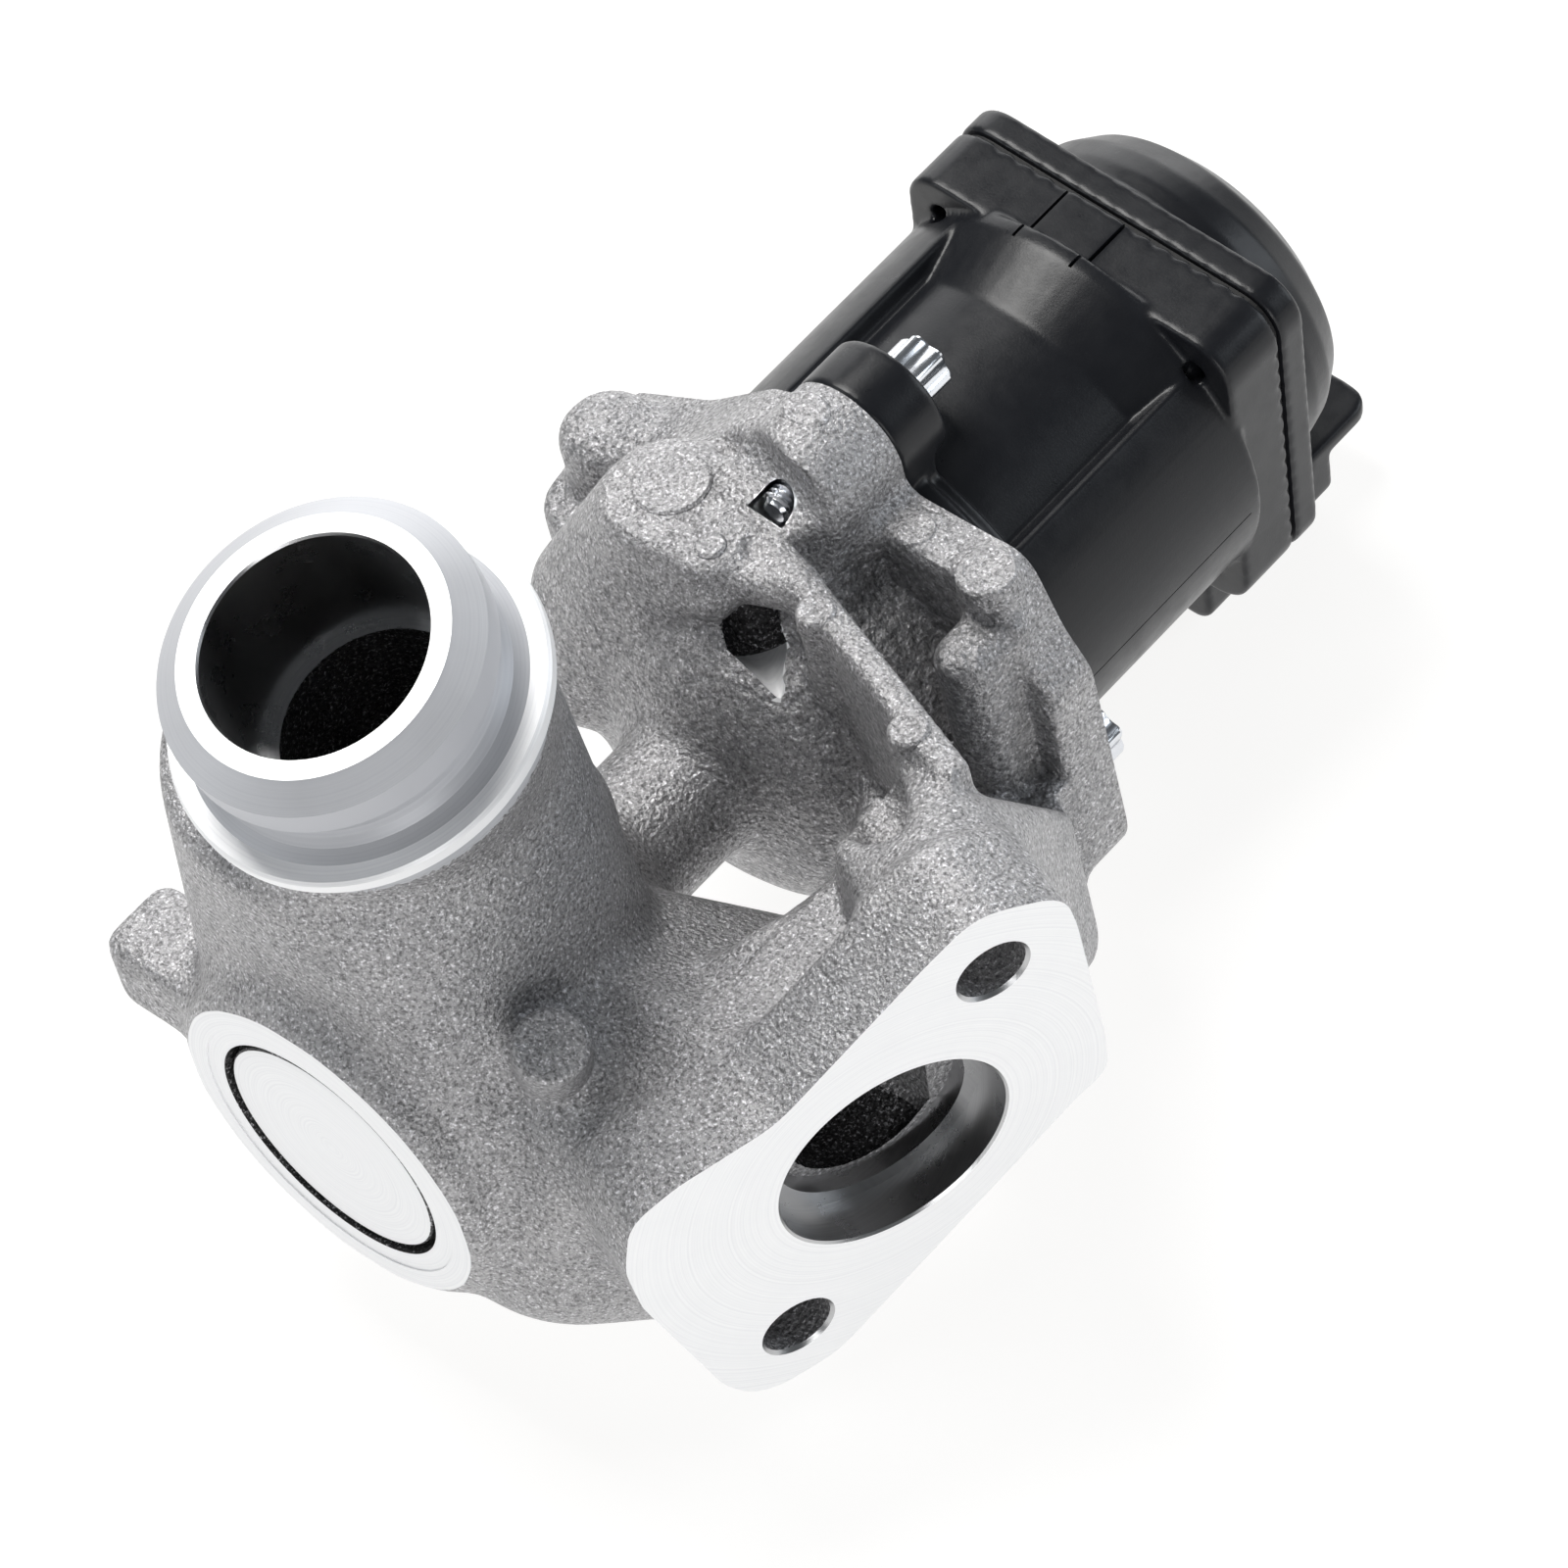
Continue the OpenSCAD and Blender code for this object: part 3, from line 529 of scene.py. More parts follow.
def skin(h):
    """Cast outer form: the filled body with its corners filled and its edges rounded, more or less by region."""
    b = base_field(h)
    parts = []
    for c, o, s in ((2.8, 1.3, 0.8), (5.6, 1.8, 0.9), (1.25, 0.6, 0.45)):
        f = Field(*ALL, h, 9.5)
        f.d[...] = b.d
        f.close(c)
        f.open(o)
        f.blur(s)
        parts.append(f)
    low, left, right = parts
    X, Y, Z = right.ax[0][:, None, None], right.ax[1][None, :, None], right.ax[2][None, None, :]
    m = step(X + 0.35 * (Z - 20), -13.0, -6.0)
    m = np.maximum(m, step(X, -24.0, -29.0))
    m = np.maximum(m, step(Y, 91.0, 95.0))
    up = left.d * (1 - m) + right.d * m
    m = step(Y + 0.15 * X, 67.0, 76.0)
    neck = step(Y, 43.0, 48.0) * (1 - step(Y, 68.0, 74.0)) * (1 - step(X, 25.0, 31.0))
    f = right
    f.d[...] = (low.d * (1 - m) + up * m) * (1 - neck) + right.d * neck
    # pocket between the web, the bowl and the mounting plate, down to its floor
    f.cut(pocket, [20, 66, -4], [60, 99, 40], 1.6)
    # web from the crown to the flange block, with its shallow foot
    f.add(brick([4, -0.2, 2], [57, 3.7, 35.9], 0.9, WEB), [-4, 66, 0], [56, 94, 38], 1.6)
    f.add(rod([43.0, 70.4, 22], [48, 68.2, 29], 4.2, 3.0), [36, 60, 14], [60, 80, 36], 2.5)
    # lip of the crown over the drilled hole, running into the web
    f.add(rod([1.0, 80.8, 31.8], [13.5, 83.2, 33.2], 3.4, 2.6), [-4, 74, 26], [18, 88, 38], 2.2)
    f.add(rod([-3.0, 79.0, 29.5], [3.6, 77.6, 30.4], 3.2, 2.2), [-8, 72, 24], [8, 84, 36], 2.5)
    # domed end of the upper ear, and the round ends of the pad in the pocket
    f.add(ball([3.7, 97.2, 35.0], 9.0), [-6, 86, 25], [14, 107, 45], 1.5)
    f.add(prism(rounded([[27.2, 88.2, 4.2], [35.4, 88.2, 4.2], [35.4, 100, 1], [27.2, 100, 1]]), -8, 25.2, WORLD, e=2.6), [25, 86, -10], [38, 102, 28], 1.2)
    # corner boss, datum boss, strip behind the flange and low pad on the arm
    f.add(drum([-33, 96, 12], [-33.4, 96, 22.4], 6.0, e=2.2), [-41, 88, 8], [-25, 104, 26], 2.5)
    f.add(drum([26.0, 18.4, 18], [28.7, 16.9, 24.6], 4.4, e=0.6), [18, 8, 12], [38, 27, 32], 1.6)
    f.add(prism(rounded([[38.0, 31.5, 3], [48, 33, 3], [49, 58, 3], [37.8, 57.5, 3]]), 4, 20.7, WORLD, e=0.8), [34, 28, 4], [52, 62, 24], 0.9)
    # valley between the crown and the upper ear, where the end of the fixing screw shows
    f.cut(rod([-3, 91, 41.6], [9.5, 88.4, 40.0], 4.7), [-10, 80, 30], [18, 98, 48], 1.3)
    return f


WEB = Local(rot("z", -19.3), [-4, 88.6, 0])


def pocket(X, Y, Z):
    back = (2.481 * X - 6.409 * Y - 4.754 * Z + 483.5) / 8.357
    side = (X + 4) * WEB.R[0, 1] + (Y - 88.6) * WEB.R[1, 1]
    return np.maximum.reduce([back + 0 * X * Y * Z, -(Z + 1.5) + 0 * X * Y, 27.6 - np.hypot(X, Z) + 0 * Y, Y - 97.0 + 0 * X * Z, 1.5 - side + 0 * Z])


def gas_ways(h):
    """The cast hollows, as one smooth solid to be cut out. Returns the field and its mesh."""
    f = Field([-34, -6, -34], [70, 52, 66], h, 4.0)
    f.add(lathe_field([[0, -4], [16.2, -4], [16.4, 4.5], [20, 6.5], [24.4, 13], [26, 19], [25.4, 25], [22, 29.6], [16.4, 31], [0, 31]]), [-28, -5, -28], [28, 32, 28])
    f.add(rod([0, 21, 14], [0, 28, 50], 12.4, 13.4), [-14, 5, 0], [14, 44, 64], 3)
    f.add(drum(SP.at(0, 0, 38), SP.at(0, 0, 59.5), 13.4, e=0.3), [-15, 12, 28], [15, 48, 66], 1.0)
    f.add(lathe_field([[0, 37.8], [14.2, 37.8], [14.8, 38.6], [14.8, 43.5], [12, 46.4], [8, 47.8], [0, 47.8]]), [-16, 36, -16], [16, 49, 16])
    # from the port to the space behind the seat, flattened on the way
    a = FL.at(0, 0, -11)
    for z0, z1, c in ((-6.5, -5.5, 1), (6.5, 5.5, -1)):
        f.add(rod(a + np.array([0, 0, 0.55 * z0]), [20, 44, z0], 10.0, 5.8), [0, 30, -20], [66, 50, 20], 2.0)
        f.add(rod([20, 44, z0], [6, 42.4, z1], 5.8, 4.8), [0, 30, -20], [30, 50, 20], 2.0)
    f.add(rod(FL.at(0, 0, -11.5), [34, 43.6, 0], 11.8, 7.0), [20, 26, -20], [66, 56, 20], 3.0)
    f.cut(drum(FL.at(0, 0, -8.4), FL.at(0, 0, 20), 40, e=0.1), [30, 0, -34], [70, 52, 40])
    f.blur(0.8)
    return f, outward(f.mesh("gas_ways"))


def half_space(local, w, name="plane", size=160):
    return extrude(name, [[-size, -size], [size, -size], [size, size], [-size, size]], w, w + 60, local)


def bar(name, r, y0, y1, at=(0, 0), seg=96, mat=None, c0=0.0, c1=0.0):
    """Round cutter along Y; c0 and c1 widen it at its ends as chamfers."""
    L = Local(YUP.R, [at[0], 0, at[1]])
    P = [[0, y0], [r + c0, y0]]
    if c0:
        P.append([r, y0 + c0])
    if c1:
        P.append([r, y1 - c1])
    P += [[r + c1, y1], [0, y1]]
    return revolve(name, P, L, seg, mat)


def frame_at(o, normal, along=(1, 0, 0)):
    """Local frame at o, z along the normal."""
    z = unit(normal)
    x = unit(np.array(along, float) - z * float(np.dot(along, z)))
    return Local(np.column_stack([x, np.cross(z, x), z]), o)


DRILL_TIP = np.array([14.7, 75.3, 20.6])
DRILL_AXIS = np.array([3.0, 83.4, 26.6]) - DRILL_TIP
DRILL = [[0, 0], [4.5, 8.2], [4.5, 13.5], [3.5, 15.2], [0, 15.8]]


def pad(o, normal, r, below, above, stretch=1.0, chamfer=0.35, seg=72):
    """Low round ejector pad, slightly irregular, standing on a cast surface."""
    L = frame_at(o, normal)
    if stretch != 1.0:
        L.R = L.R @ np.diag([stretch, 1.0, 1.0])
    return revolve("pad", [[0, -below], [r + 0.25, -below], [r + 0.1, 0], [r, above - chamfer], [r - chamfer, above - 0.05], [r - chamfer - 0.5, above], [r - chamfer - 0.9, above - 0.14], [0, above - 0.14]], L, seg)


def decimate(ob, faces):
    me = ob.data
    me.calc_loop_triangles()
    n = len(me.loop_triangles)
    if n <= faces:
        return ob
    t = ob.modifiers.new("tri", "TRIANGULATE")
    m = ob.modifiers.new("fewer", "DECIMATE")
    m.ratio = faces / n
    bpy.context.view_layer.update()
    new = bpy.data.meshes.new_from_object(ob.evaluated_get(bpy.context.evaluated_depsgraph_get()))
    ob.modifiers.clear()
    ob.data = new
    new.name = ob.name
    bpy.data.meshes.remove(me)
    return ob


def build_casting(h, mats):
    f = skin(h)
    ob = outward(f.mesh("casting"))
    print("skin faces", len(ob.data.polygons))
    decimate(ob, 150000)
    gas_field, gas = gas_ways(0.8)
    fl = half_space(FL, 0.0)
    top = half_space(Local(YUP.R, [0, 0, 0]), 105.0)
    low = half_space(Local(rot("x", 90), [0, 0, 0]), 0.0)
    off = revolve("off", [[0, 59.4], [40, 59.4], [40, 95], [0, 95]], SP, 96)
    boolean(ob, [fl, top, low, off])
    rim = revolve("rim", [[0, 50], [19, 50], [21.6, 56.5], [22.4, 60], [22.6, 62.9], [23.1, 63.5], [24.3, 63.8], [24.8, 64.3], [24.8, 65.9], [24.4, 66.4], [22.2, 66.4], [21.7, 66.65],
                          [20.5, 67.5], [19.6, 68.7], [19.25, 69.6], [19.2, 72.0], [19.5, 72.6], [20.7, 73.3], [21.2, 73.6], [21.2, 77.75], [17.65, 80.5], [0, 80.5]], SP, 160)
    up = [0, 0, 1]
    boolean(ob, [rim,
                 pad([-8.6, 85.4, 37.2], up, 5.2, 2, 1.0), pad([1.6, 81.0, 36.5], up, 2.1, 2.5, 0.7),
                 pad([19.5, 80.6, 36.0], up, 2.55, 2.2, 0.75), pad([41.5, 72.8, 36.0], up, 2.7, 2.6, 0.75),
                 pad([30, 99.9, 30.5], up, 4.0, 2.4, 0.9), pad([18, 100.4, 30.5], up, 2.7, 1.6, 0.6),
                 pad([2.6, 100.2, 44.0], [0.06, 0, 1], 2.7, 3, 0.75, 1.25), pad([-33, 96, 22.4], up, 3.7, 2, 1.1, 1.15),
                 pad([-20.5, 93.5, 26.4], [-0.3, 0.1, 1], 2.0, 1.6, 0.5),
                 pad([31.0, 15.7, 27.9], [0.38, -0.22, 0.9], 4.8, 8, 1.0, chamfer=0.5)], "UNION")
    cuts = [gas,
            revolve("outlet_bore", [[0, 58], [14.8, 58], [14.8, 80.1], [15.3, 81], [0, 81]], SP, 128),
            revolve("port", [[0, -PORT_DEPTH], [16, -PORT_DEPTH], [16, -0.3], [16.5, 0.2], [16.5, 2], [0, 2]], FL, 128),
            revolve("port_step", [[0, -9], [13.5, -9], [13.5, -5], [0, -5]], FL, 96),
            bar("plug_seat", 17.6, -1, 5.5, seg=128),
            bar("plug_step", 20.4, -1, 0.2, seg=128),
            bar("seat_bore", 15.5, 30, 37),
            bar("throat", 12.4, 34, 39),
            bar("guide_bore", 7, 46, 80),
            revolve("spring_space", [[0, 78], [15, 78], [15, 80], [21.4, 86], [22, 92], [22, 100], [0, 100]], YUP, 96),
            bar("pilot", 22.6, 99, 106, seg=128),
            # drilled hole under the lip of the crown, its pointed end breaking out below
            revolve("access", DRILL, frame_at(DRILL_TIP, DRILL_AXIS), 72)]
    for s in (-1, 1):
        L = Local(FL.R, FL.at(s * 31.7, 0, 0))
        cuts.append(revolve("bolt", [[0, -32], [4.8, -32], [4.8, -0.5], [5.3, 0.1], [5.3, 2], [0, 2]], L, 64))
    for a in EARS:
        p = rot("y", CLOCK + a) @ np.array([0, 0, EAR_R])
        cuts.append(bar("screw_hole", 2.55, 90, 106, (p[0], p[2]), 48))
    p = rot("y", CLOCK) @ np.array([0, 0, EAR_R])
    cuts.append(bar("screw_end", 3.0, 88.6, 96.2, (p[0], p[2]), 48, c0=0.0))
    boolean(ob, cuts)
    paint(ob, gas_field, mats)
    return ob


def paint(ob, gas, mats):
    """Gives every face its finish by where it lies: cast, painted shade on the walls of the hollows and holes, flange
    face, spigot, plug end, bored.
    """
    me = ob.data
    me.materials.clear()
    for m in mats:
        me.materials.append(m)
    n = len(me.polygons)
    c = np.empty(n * 3, np.float32)
    me.polygons.foreach_get("center", c)
    c = c.reshape(-1, 3).astype(float) * 1000 + OFF
    nn = np.empty(n * 3, np.float32)
    me.polygons.foreach_get("normal", nn)
    nn = nn.reshape(-1, 3).astype(float)
    idx = np.zeros(n, np.int32)
    # sampled distance to the hollows
    g = [np.clip(np.round((c[:, k] - gas.ax[k][0]) / gas.h).astype(int), 0, len(gas.ax[k]) - 1) for k in range(3)]
    d = gas.d[g[0], g[1], g[2]]
    g = [np.clip(np.round((c[:, k] + 1.6 * nn[:, k] - gas.ax[k][0]) / gas.h).astype(int), 0, len(gas.ax[k]) - 1) for k in range(3)]
    inwards = gas.d[g[0], g[1], g[2]] < d
    box = np.all([(c[:, k] > gas.ax[k][0] + 1) & (c[:, k] < gas.ax[k][-1] - 1) for k in range(3)], axis=0)
    # walls of the cast hollows get the near-black copy of the cast finish: painted shade
    idx[box & (np.abs(d) < 1.3) & inwards] = 1
    q = (c - FL.o) @ FL.R
    w, rf = q[:, 2], np.hypot(q[:, 0], q[:, 1])
    # outer cast skin near the hollows stays cast: it faces away from them, so test with the skin's own side
    idx[(w > -0.08) & (nn @ FL.R[:, 2] > 0.95)] = 2
    idx[(rf < 16.6) & (w < 0.0) & (w > -PORT_DEPTH - 0.1) & (rf > 13.3)] = 5
    idx[(np.abs(rf - 13.5) < 0.12) & (w > -9.05) & (w < 0)] = 5
    for s in (-1, 1):
        rb = np.hypot(q[:, 0] - s * 31.7, q[:, 1])
        idx[(rb < 5.4) & (w < -0.0) & (w > -14)] = 5
    s_ = (c - SP.o) @ SP.R
    t, rs = s_[:, 2], np.hypot(s_[:, 0], s_[:, 1])
    # spigot and collar sides take the darker, slightly bluer copy of the turned finish: painted shade
    idx[(t > 59.0) & (rs < 25.2) & (rs > 16)] = 3
    along = nn @ SP.R[:, 2]
    # the end ring and the collar top keep the bright turned finish; the collar's outer edge gets it too, as a painted
    # highlight
    idx[(t > 80.4) & (rs < 25.2)] = 6
    idx[(t > 66.2) & (t < 66.6) & (rs > 22) & (rs < 25.2) & (along > 0.95)] = 6
    idx[(t > 64.0) & (t < 66.6) & (rs > 24.5) & (rs < 25.2)] = 6
    idx[(t > 57.9) & (rs < 15.32) & (t < 80.45)] = 5
    ra = np.hypot(c[:, 0], c[:, 2])
    y = c[:, 1]
    idx[(y < 0.08) & (nn[:, 1] < -0.9)] = 4
    # painted shade: a dark line on the wall of the plug seat
    idx[(y > 0.3) & (y < 5.6) & (ra < 17.7) & (ra > 17.4)] = 1
    idx[(y < 0.3) & (ra < 20.5)] = 4
    idx[(y > 104.9) & (nn[:, 1] > 0.9)] = 4
    idx[(ra < 22.8) & (y > 77.9)] = 5
    idx[(ra < 15.6) & (y > 29.9) & (y < 37.1) & (ra > 12.3)] = 5
    idx[(ra < 12.5) & (y > 33) & (y < 39) & (ra > 12.2)] = 5
    idx[(ra < 7.1) & (y > 45)] = 5
    q = c - DRILL_TIP
    a = unit(DRILL_AXIS)
    t = q @ a
    rh = np.sqrt(np.maximum((q * q).sum(1) - t * t, 0))
    cone = (np.abs(rh - 4.5 * np.clip(t / 8.2, 0, 1)) < 0.12) & (t > -0.1) & (t < 15.9)
    # drilled hole: its pointed end takes the bright turned finish as painted light, its machined wall the near-black
    # painted shade
    idx[cone & (t < 8.2)] = 4
    idx[(rh < 4.6) & (t >= 8.2) & (t < 15.9)] = 1
    for a in EARS:
        p = rot("y", CLOCK + a) @ np.array([0, 0, EAR_R])
        idx[(np.hypot(c[:, 0] - p[0], c[:, 2] - p[2]) < 3.15) & (y > 88.5)] = 5
    me.polygons.foreach_set("material_index", idx)
    me.update()
    return idx


def sharpen(me, degrees):
    """Crisp edges between machined faces, which the rounding of the cast skin would blur in shading."""
    n = len(me.polygons)
    idx = np.empty(n, np.int32)
    me.polygons.foreach_get("material_index", idx)
    nn = np.empty(n * 3, np.float32)
    me.polygons.foreach_get("normal", nn)
    nn = nn.reshape(-1, 3)
    edge = np.empty(len(me.loops), np.int32)
    me.loops.foreach_get("edge_index", edge)
    total = np.empty(n, np.int32)
    me.polygons.foreach_get("loop_total", total)
    face = np.repeat(np.arange(n), total)
    order = np.argsort(edge, kind="stable")
    e, f = edge[order], face[order]
    two = e[:-1] == e[1:]
    e, fa, fb = e[:-1][two], f[:-1][two], f[1:][two]
    dot = (nn[fa] * nn[fb]).sum(1)
    both = (idx[fa] >= 2) & (idx[fb] >= 2)
    one = ((idx[fa] >= 2) | (idx[fb] >= 2)) & (idx[fa] != idx[fb])
    hit = (both & (dot < math.cos(math.radians(degrees)))) | (one & (dot < math.cos(math.radians(9))))
    flags = np.empty(len(me.edges), bool)
    me.edges.foreach_get("use_edge_sharp", flags)
    flags[e[hit]] = True
    me.edges.foreach_set("use_edge_sharp", flags)

# ---------------------------------------------------------------- materials


class Nodes:
    def __init__(self, name):
        self.m = bpy.data.materials.new(name)
        self.m.use_nodes = True
        self.t = self.m.node_tree
        self.b = self.t.nodes["Principled BSDF"]
        self.pos = self.t.nodes.new("ShaderNodeTexCoord").outputs["Object"]

    def new(self, kind, **kw):
        n = self.t.nodes.new(kind)
        for k, v in kw.items():
            if k in n.inputs:
                n.inputs[k].default_value = v
            else:
                setattr(n, k, v)
        return n

    def link(self, a, b):
        self.t.links.new(a, b)

    def math(self, op, a, b=None, c=None):
        n = self.t.nodes.new("ShaderNodeMath")
        n.operation = op
        for i, v in enumerate((a, b, c)):
            if v is None:
                continue
            if isinstance(v, (int, float)):
                n.inputs[i].default_value = v
            else:
                self.link(v, n.inputs[i])
        return n.outputs[0]

    def noise(self, mm, detail=2.0, rough=0.5, vec=None, distortion=0.0):
        n = self.new("ShaderNodeTexNoise", Scale=1000.0 / mm, Detail=detail, Roughness=rough, Distortion=distortion)
        self.link(vec or self.pos, n.inputs["Vector"])
        return n.outputs["Fac"]

    def cells(self, mm, feature="F1", vec=None, out="Distance"):
        n = self.t.nodes.new("ShaderNodeTexVoronoi")
        n.feature = feature
        n.inputs["Scale"].default_value = 1000.0 / mm
        self.link(vec or self.pos, n.inputs["Vector"])
        return n.outputs[out]

    def span(self, x, a0, a1, b0, b1):
        n = self.new("ShaderNodeMapRange")
        n.inputs["From Min"].default_value, n.inputs["From Max"].default_value = a0, a1
        n.inputs["To Min"].default_value, n.inputs["To Max"].default_value = b0, b1
        self.link(x, n.inputs["Value"])
        return n.outputs["Result"]

    def ramp(self, x, *stops):
        n = self.t.nodes.new("ShaderNodeValToRGB")
        e = n.color_ramp.elements
        while len(e) < len(stops):
            e.new(0.5)
        for q, (p, c) in zip(e, stops):
            q.position = p
            q.color = (*c, 1) if len(c) == 3 else c
        self.link(x, n.inputs["Fac"])
        return n.outputs["Color"]

    def mix(self, fac, a, b, kind="MIX"):
        n = self.t.nodes.new("ShaderNodeMix")
        n.data_type, n.blend_type = "RGBA", kind
        for sock, v in ((n.inputs[0], fac), (n.inputs[6], a), (n.inputs[7], b)):
            if isinstance(v, (int, float)):
                sock.default_value = v
            elif isinstance(v, tuple):
                sock.default_value = (*v, 1)
            else:
                self.link(v, sock)
        return n.outputs[2]

    def bump(self, h, dist_mm, strength=1.0, under=None):
        n = self.new("ShaderNodeBump", Strength=strength, Distance=dist_mm / 1000.0)
        self.link(h, n.inputs["Height"])
        if under is not None:
            self.link(under, n.inputs["Normal"])
        return n.outputs["Normal"]

    def set(self, **kw):
        for k, v in kw.items():
            k = k.replace("_", " ")
            if isinstance(v, (int, float)):
                self.b.inputs[k].default_value = v
            elif isinstance(v, tuple):
                self.b.inputs[k].default_value = (*v, 1)
            else:
                self.link(v, self.b.inputs[k])
        return self.m


def offset_pos(n, o):
    """Object position in millimetres from a point of the working frame."""
    m = n.new("ShaderNodeVectorMath", operation="SUBTRACT")
    n.link(n.pos, m.inputs[0])
    m.inputs[1].default_value = tuple((np.array(o, float) - OFF) / 1000)
    return m.outputs[0]


def axis_radius(n, o, axis):
    """Distance from an axis through o, in metres, for turned marks."""
    v = offset_pos(n, o)
    d = n.new("ShaderNodeVectorMath", operation="CROSS_PRODUCT")
    n.link(v, d.inputs[0])
    d.inputs[1].default_value = tuple(unit(axis))
    length = n.new("ShaderNodeVectorMath", operation="LENGTH")
    n.link(d.outputs[0], length.inputs[0])
    return length.outputs["Value"]


def cast_material(name, tone, coarse, pebble_bump_and_shade=0.0):
    """Sand-grained cast aluminium: fine sparkling grain, and a coarser skin of small pebbles where asked for, whose low
    parts are darkened as painted shade.
    """
    n = Nodes(name)
    grain = n.noise(0.56, 3.0, 0.72)
    grit = n.cells(0.70)
    speck = n.noise(0.42, 2.0, 0.6)
    blotch = n.noise(11.0, 4.0, 0.6)
    worm = n.noise(1.35, 1.0, 0.4, distortion=0.25)
    c = n.mix(n.span(blotch, 0.32, 0.68, 0.0, 1.0), tuple(tone * k for k in (0.90, 0.895, 0.915)), tuple(tone * k for k in (1.09, 1.075, 1.09)))
    c = n.mix(1.0, c, n.ramp(grain, (0.32, (0.36,) * 3), (0.53, (0.88,) * 3), (0.70, (1.0,) * 3)), "MULTIPLY")
    spark = n.math("MULTIPLY", n.ramp(speck, (0.54, (0, 0, 0)), (0.64, (1, 1, 1))), n.ramp(grain, (0.40, (0, 0, 0)), (0.60, (1, 1, 1))))
    c = n.mix(n.math("MULTIPLY", spark, 0.80), c, (0.93, 0.92, 0.96))
    h = n.math("ADD", n.math("MULTIPLY", grain, 1.0), n.math("MULTIPLY", grit, 0.55))
    pebble_and_shade_zone = None
    if pebble_bump_and_shade:
        # on the bowl around the spring space, away from the crown and the flange; there the low parts of the skin are
        # darkened as painted shade
        p = n.t.nodes.new("ShaderNodeSeparateXYZ")
        n.link(offset_pos(n, (0, 0, 0)), p.inputs[0])
        zy = n.math("MULTIPLY", n.span(p.outputs["Y"], 0.064, 0.071, 0.0, 1.0), n.span(p.outputs["Y"], 0.104, 0.098, 0.0, 1.0))
        zz = n.math("MULTIPLY", n.span(p.outputs["Z"], 0.033, 0.028, 0.0, 1.0), n.span(p.outputs["X"], 0.046, 0.038, 0.0, 1.0))
        pebble_and_shade_zone = n.math("MULTIPLY", zy, zz)
        # painted shade: the low parts of the worm pattern in the zone are mixed towards a dark grey
        c = n.mix(n.math("MULTIPLY", pebble_and_shade_zone, n.span(worm, 0.50, 0.36, 0.0, 0.42)), c, tuple(tone * k for k in (0.40, 0.41, 0.425)))
    b1 = n.bump(worm, 0.16, coarse)
    if pebble_bump_and_shade:
        pb = n.t.nodes.new("ShaderNodeBump")
        pb.inputs["Distance"].default_value = 0.00050
        n.link(n.math("MULTIPLY", pebble_and_shade_zone, pebble_bump_and_shade), pb.inputs["Strength"])
        n.link(n.math("ADD", n.math("MULTIPLY", n.cells(1.5, "SMOOTH_F1"), -1.0), n.math("MULTIPLY", worm, 0.6)), pb.inputs["Height"])
        n.link(b1, pb.inputs["Normal"])
        b1 = pb.outputs["Normal"]
    b2 = n.bump(h, 0.30, 1.0, under=b1)
    r = n.span(grain, 0.3, 0.7, 0.58, 0.36)
    return n.set(Base_Color=c, Metallic=0.80, Roughness=r, Normal=b2, Specular_IOR_Level=0.5)


def machined_material(name, o, axis, tone=0.90, pitch=0.32, rough=0.24, depth=0.02, tint=(1.0, 1.003, 1.01), metallic=1.0):
    """Turned face: fine rings about its axis, with faint smears."""
    n = Nodes(name)
    rad = axis_radius(n, o, axis)
    ring_ = n.new("ShaderNodeTexNoise", Scale=1000.0 / pitch, Detail=2.0, Roughness=0.6, noise_dimensions="1D")
    n.link(rad, ring_.inputs["W"])
    smear = n.noise(5.0, 4.0, 0.6)
    fine = n.noise(0.35, 2.0, 0.6)
    c = n.mix(smear, tuple(tone * 0.97 * k for k in tint), tuple(min(1, tone * 1.03 * k) for k in tint))
    c = n.mix(1.0, c, n.ramp(ring_.outputs["Fac"], (0.32, (0.93, 0.93, 0.94)), (0.62, (1, 1, 1))), "MULTIPLY")
    h = n.math("ADD", ring_.outputs["Fac"], n.math("MULTIPLY", fine, 0.25))
    r = n.span(smear, 0.3, 0.7, rough * 0.94, rough * 1.08)
    return n.set(Base_Color=c, Metallic=metallic, Roughness=r, Normal=n.bump(h, depth, 0.8), Specular_IOR_Level=0.5)


def plastic_material(name, tone=(0.0135, 0.014, 0.016), rough=0.36, grain=0.03):
    n = Nodes(name)
    fine = n.noise(0.35, 3.0, 0.6)
    broad = n.noise(14.0, 3.0, 0.5)
    flow = n.noise(3.5, 4.0, 0.62)
    c = n.mix(n.math("MULTIPLY", broad, 0.6), tone, tuple(k * 1.35 for k in tone))
    dust = n.ramp(n.noise(0.55, 2.0, 0.5), (0.76, (0, 0, 0)), (0.84, (1, 1, 1)))
    c = n.mix(n.math("MULTIPLY", dust, 0.10), c, (0.20, 0.21, 0.22))
    r = n.math("ADD", n.span(flow, 0.3, 0.7, rough - 0.045, rough + 0.055), n.math("MULTIPLY", fine, 0.03))
    b = n.bump(fine, grain, 0.5)
    b = n.bump(broad, 0.10, 0.35, under=b)
    return n.set(Base_Color=c, Roughness=r, Normal=b, Specular_IOR_Level=0.32, IOR=1.5)


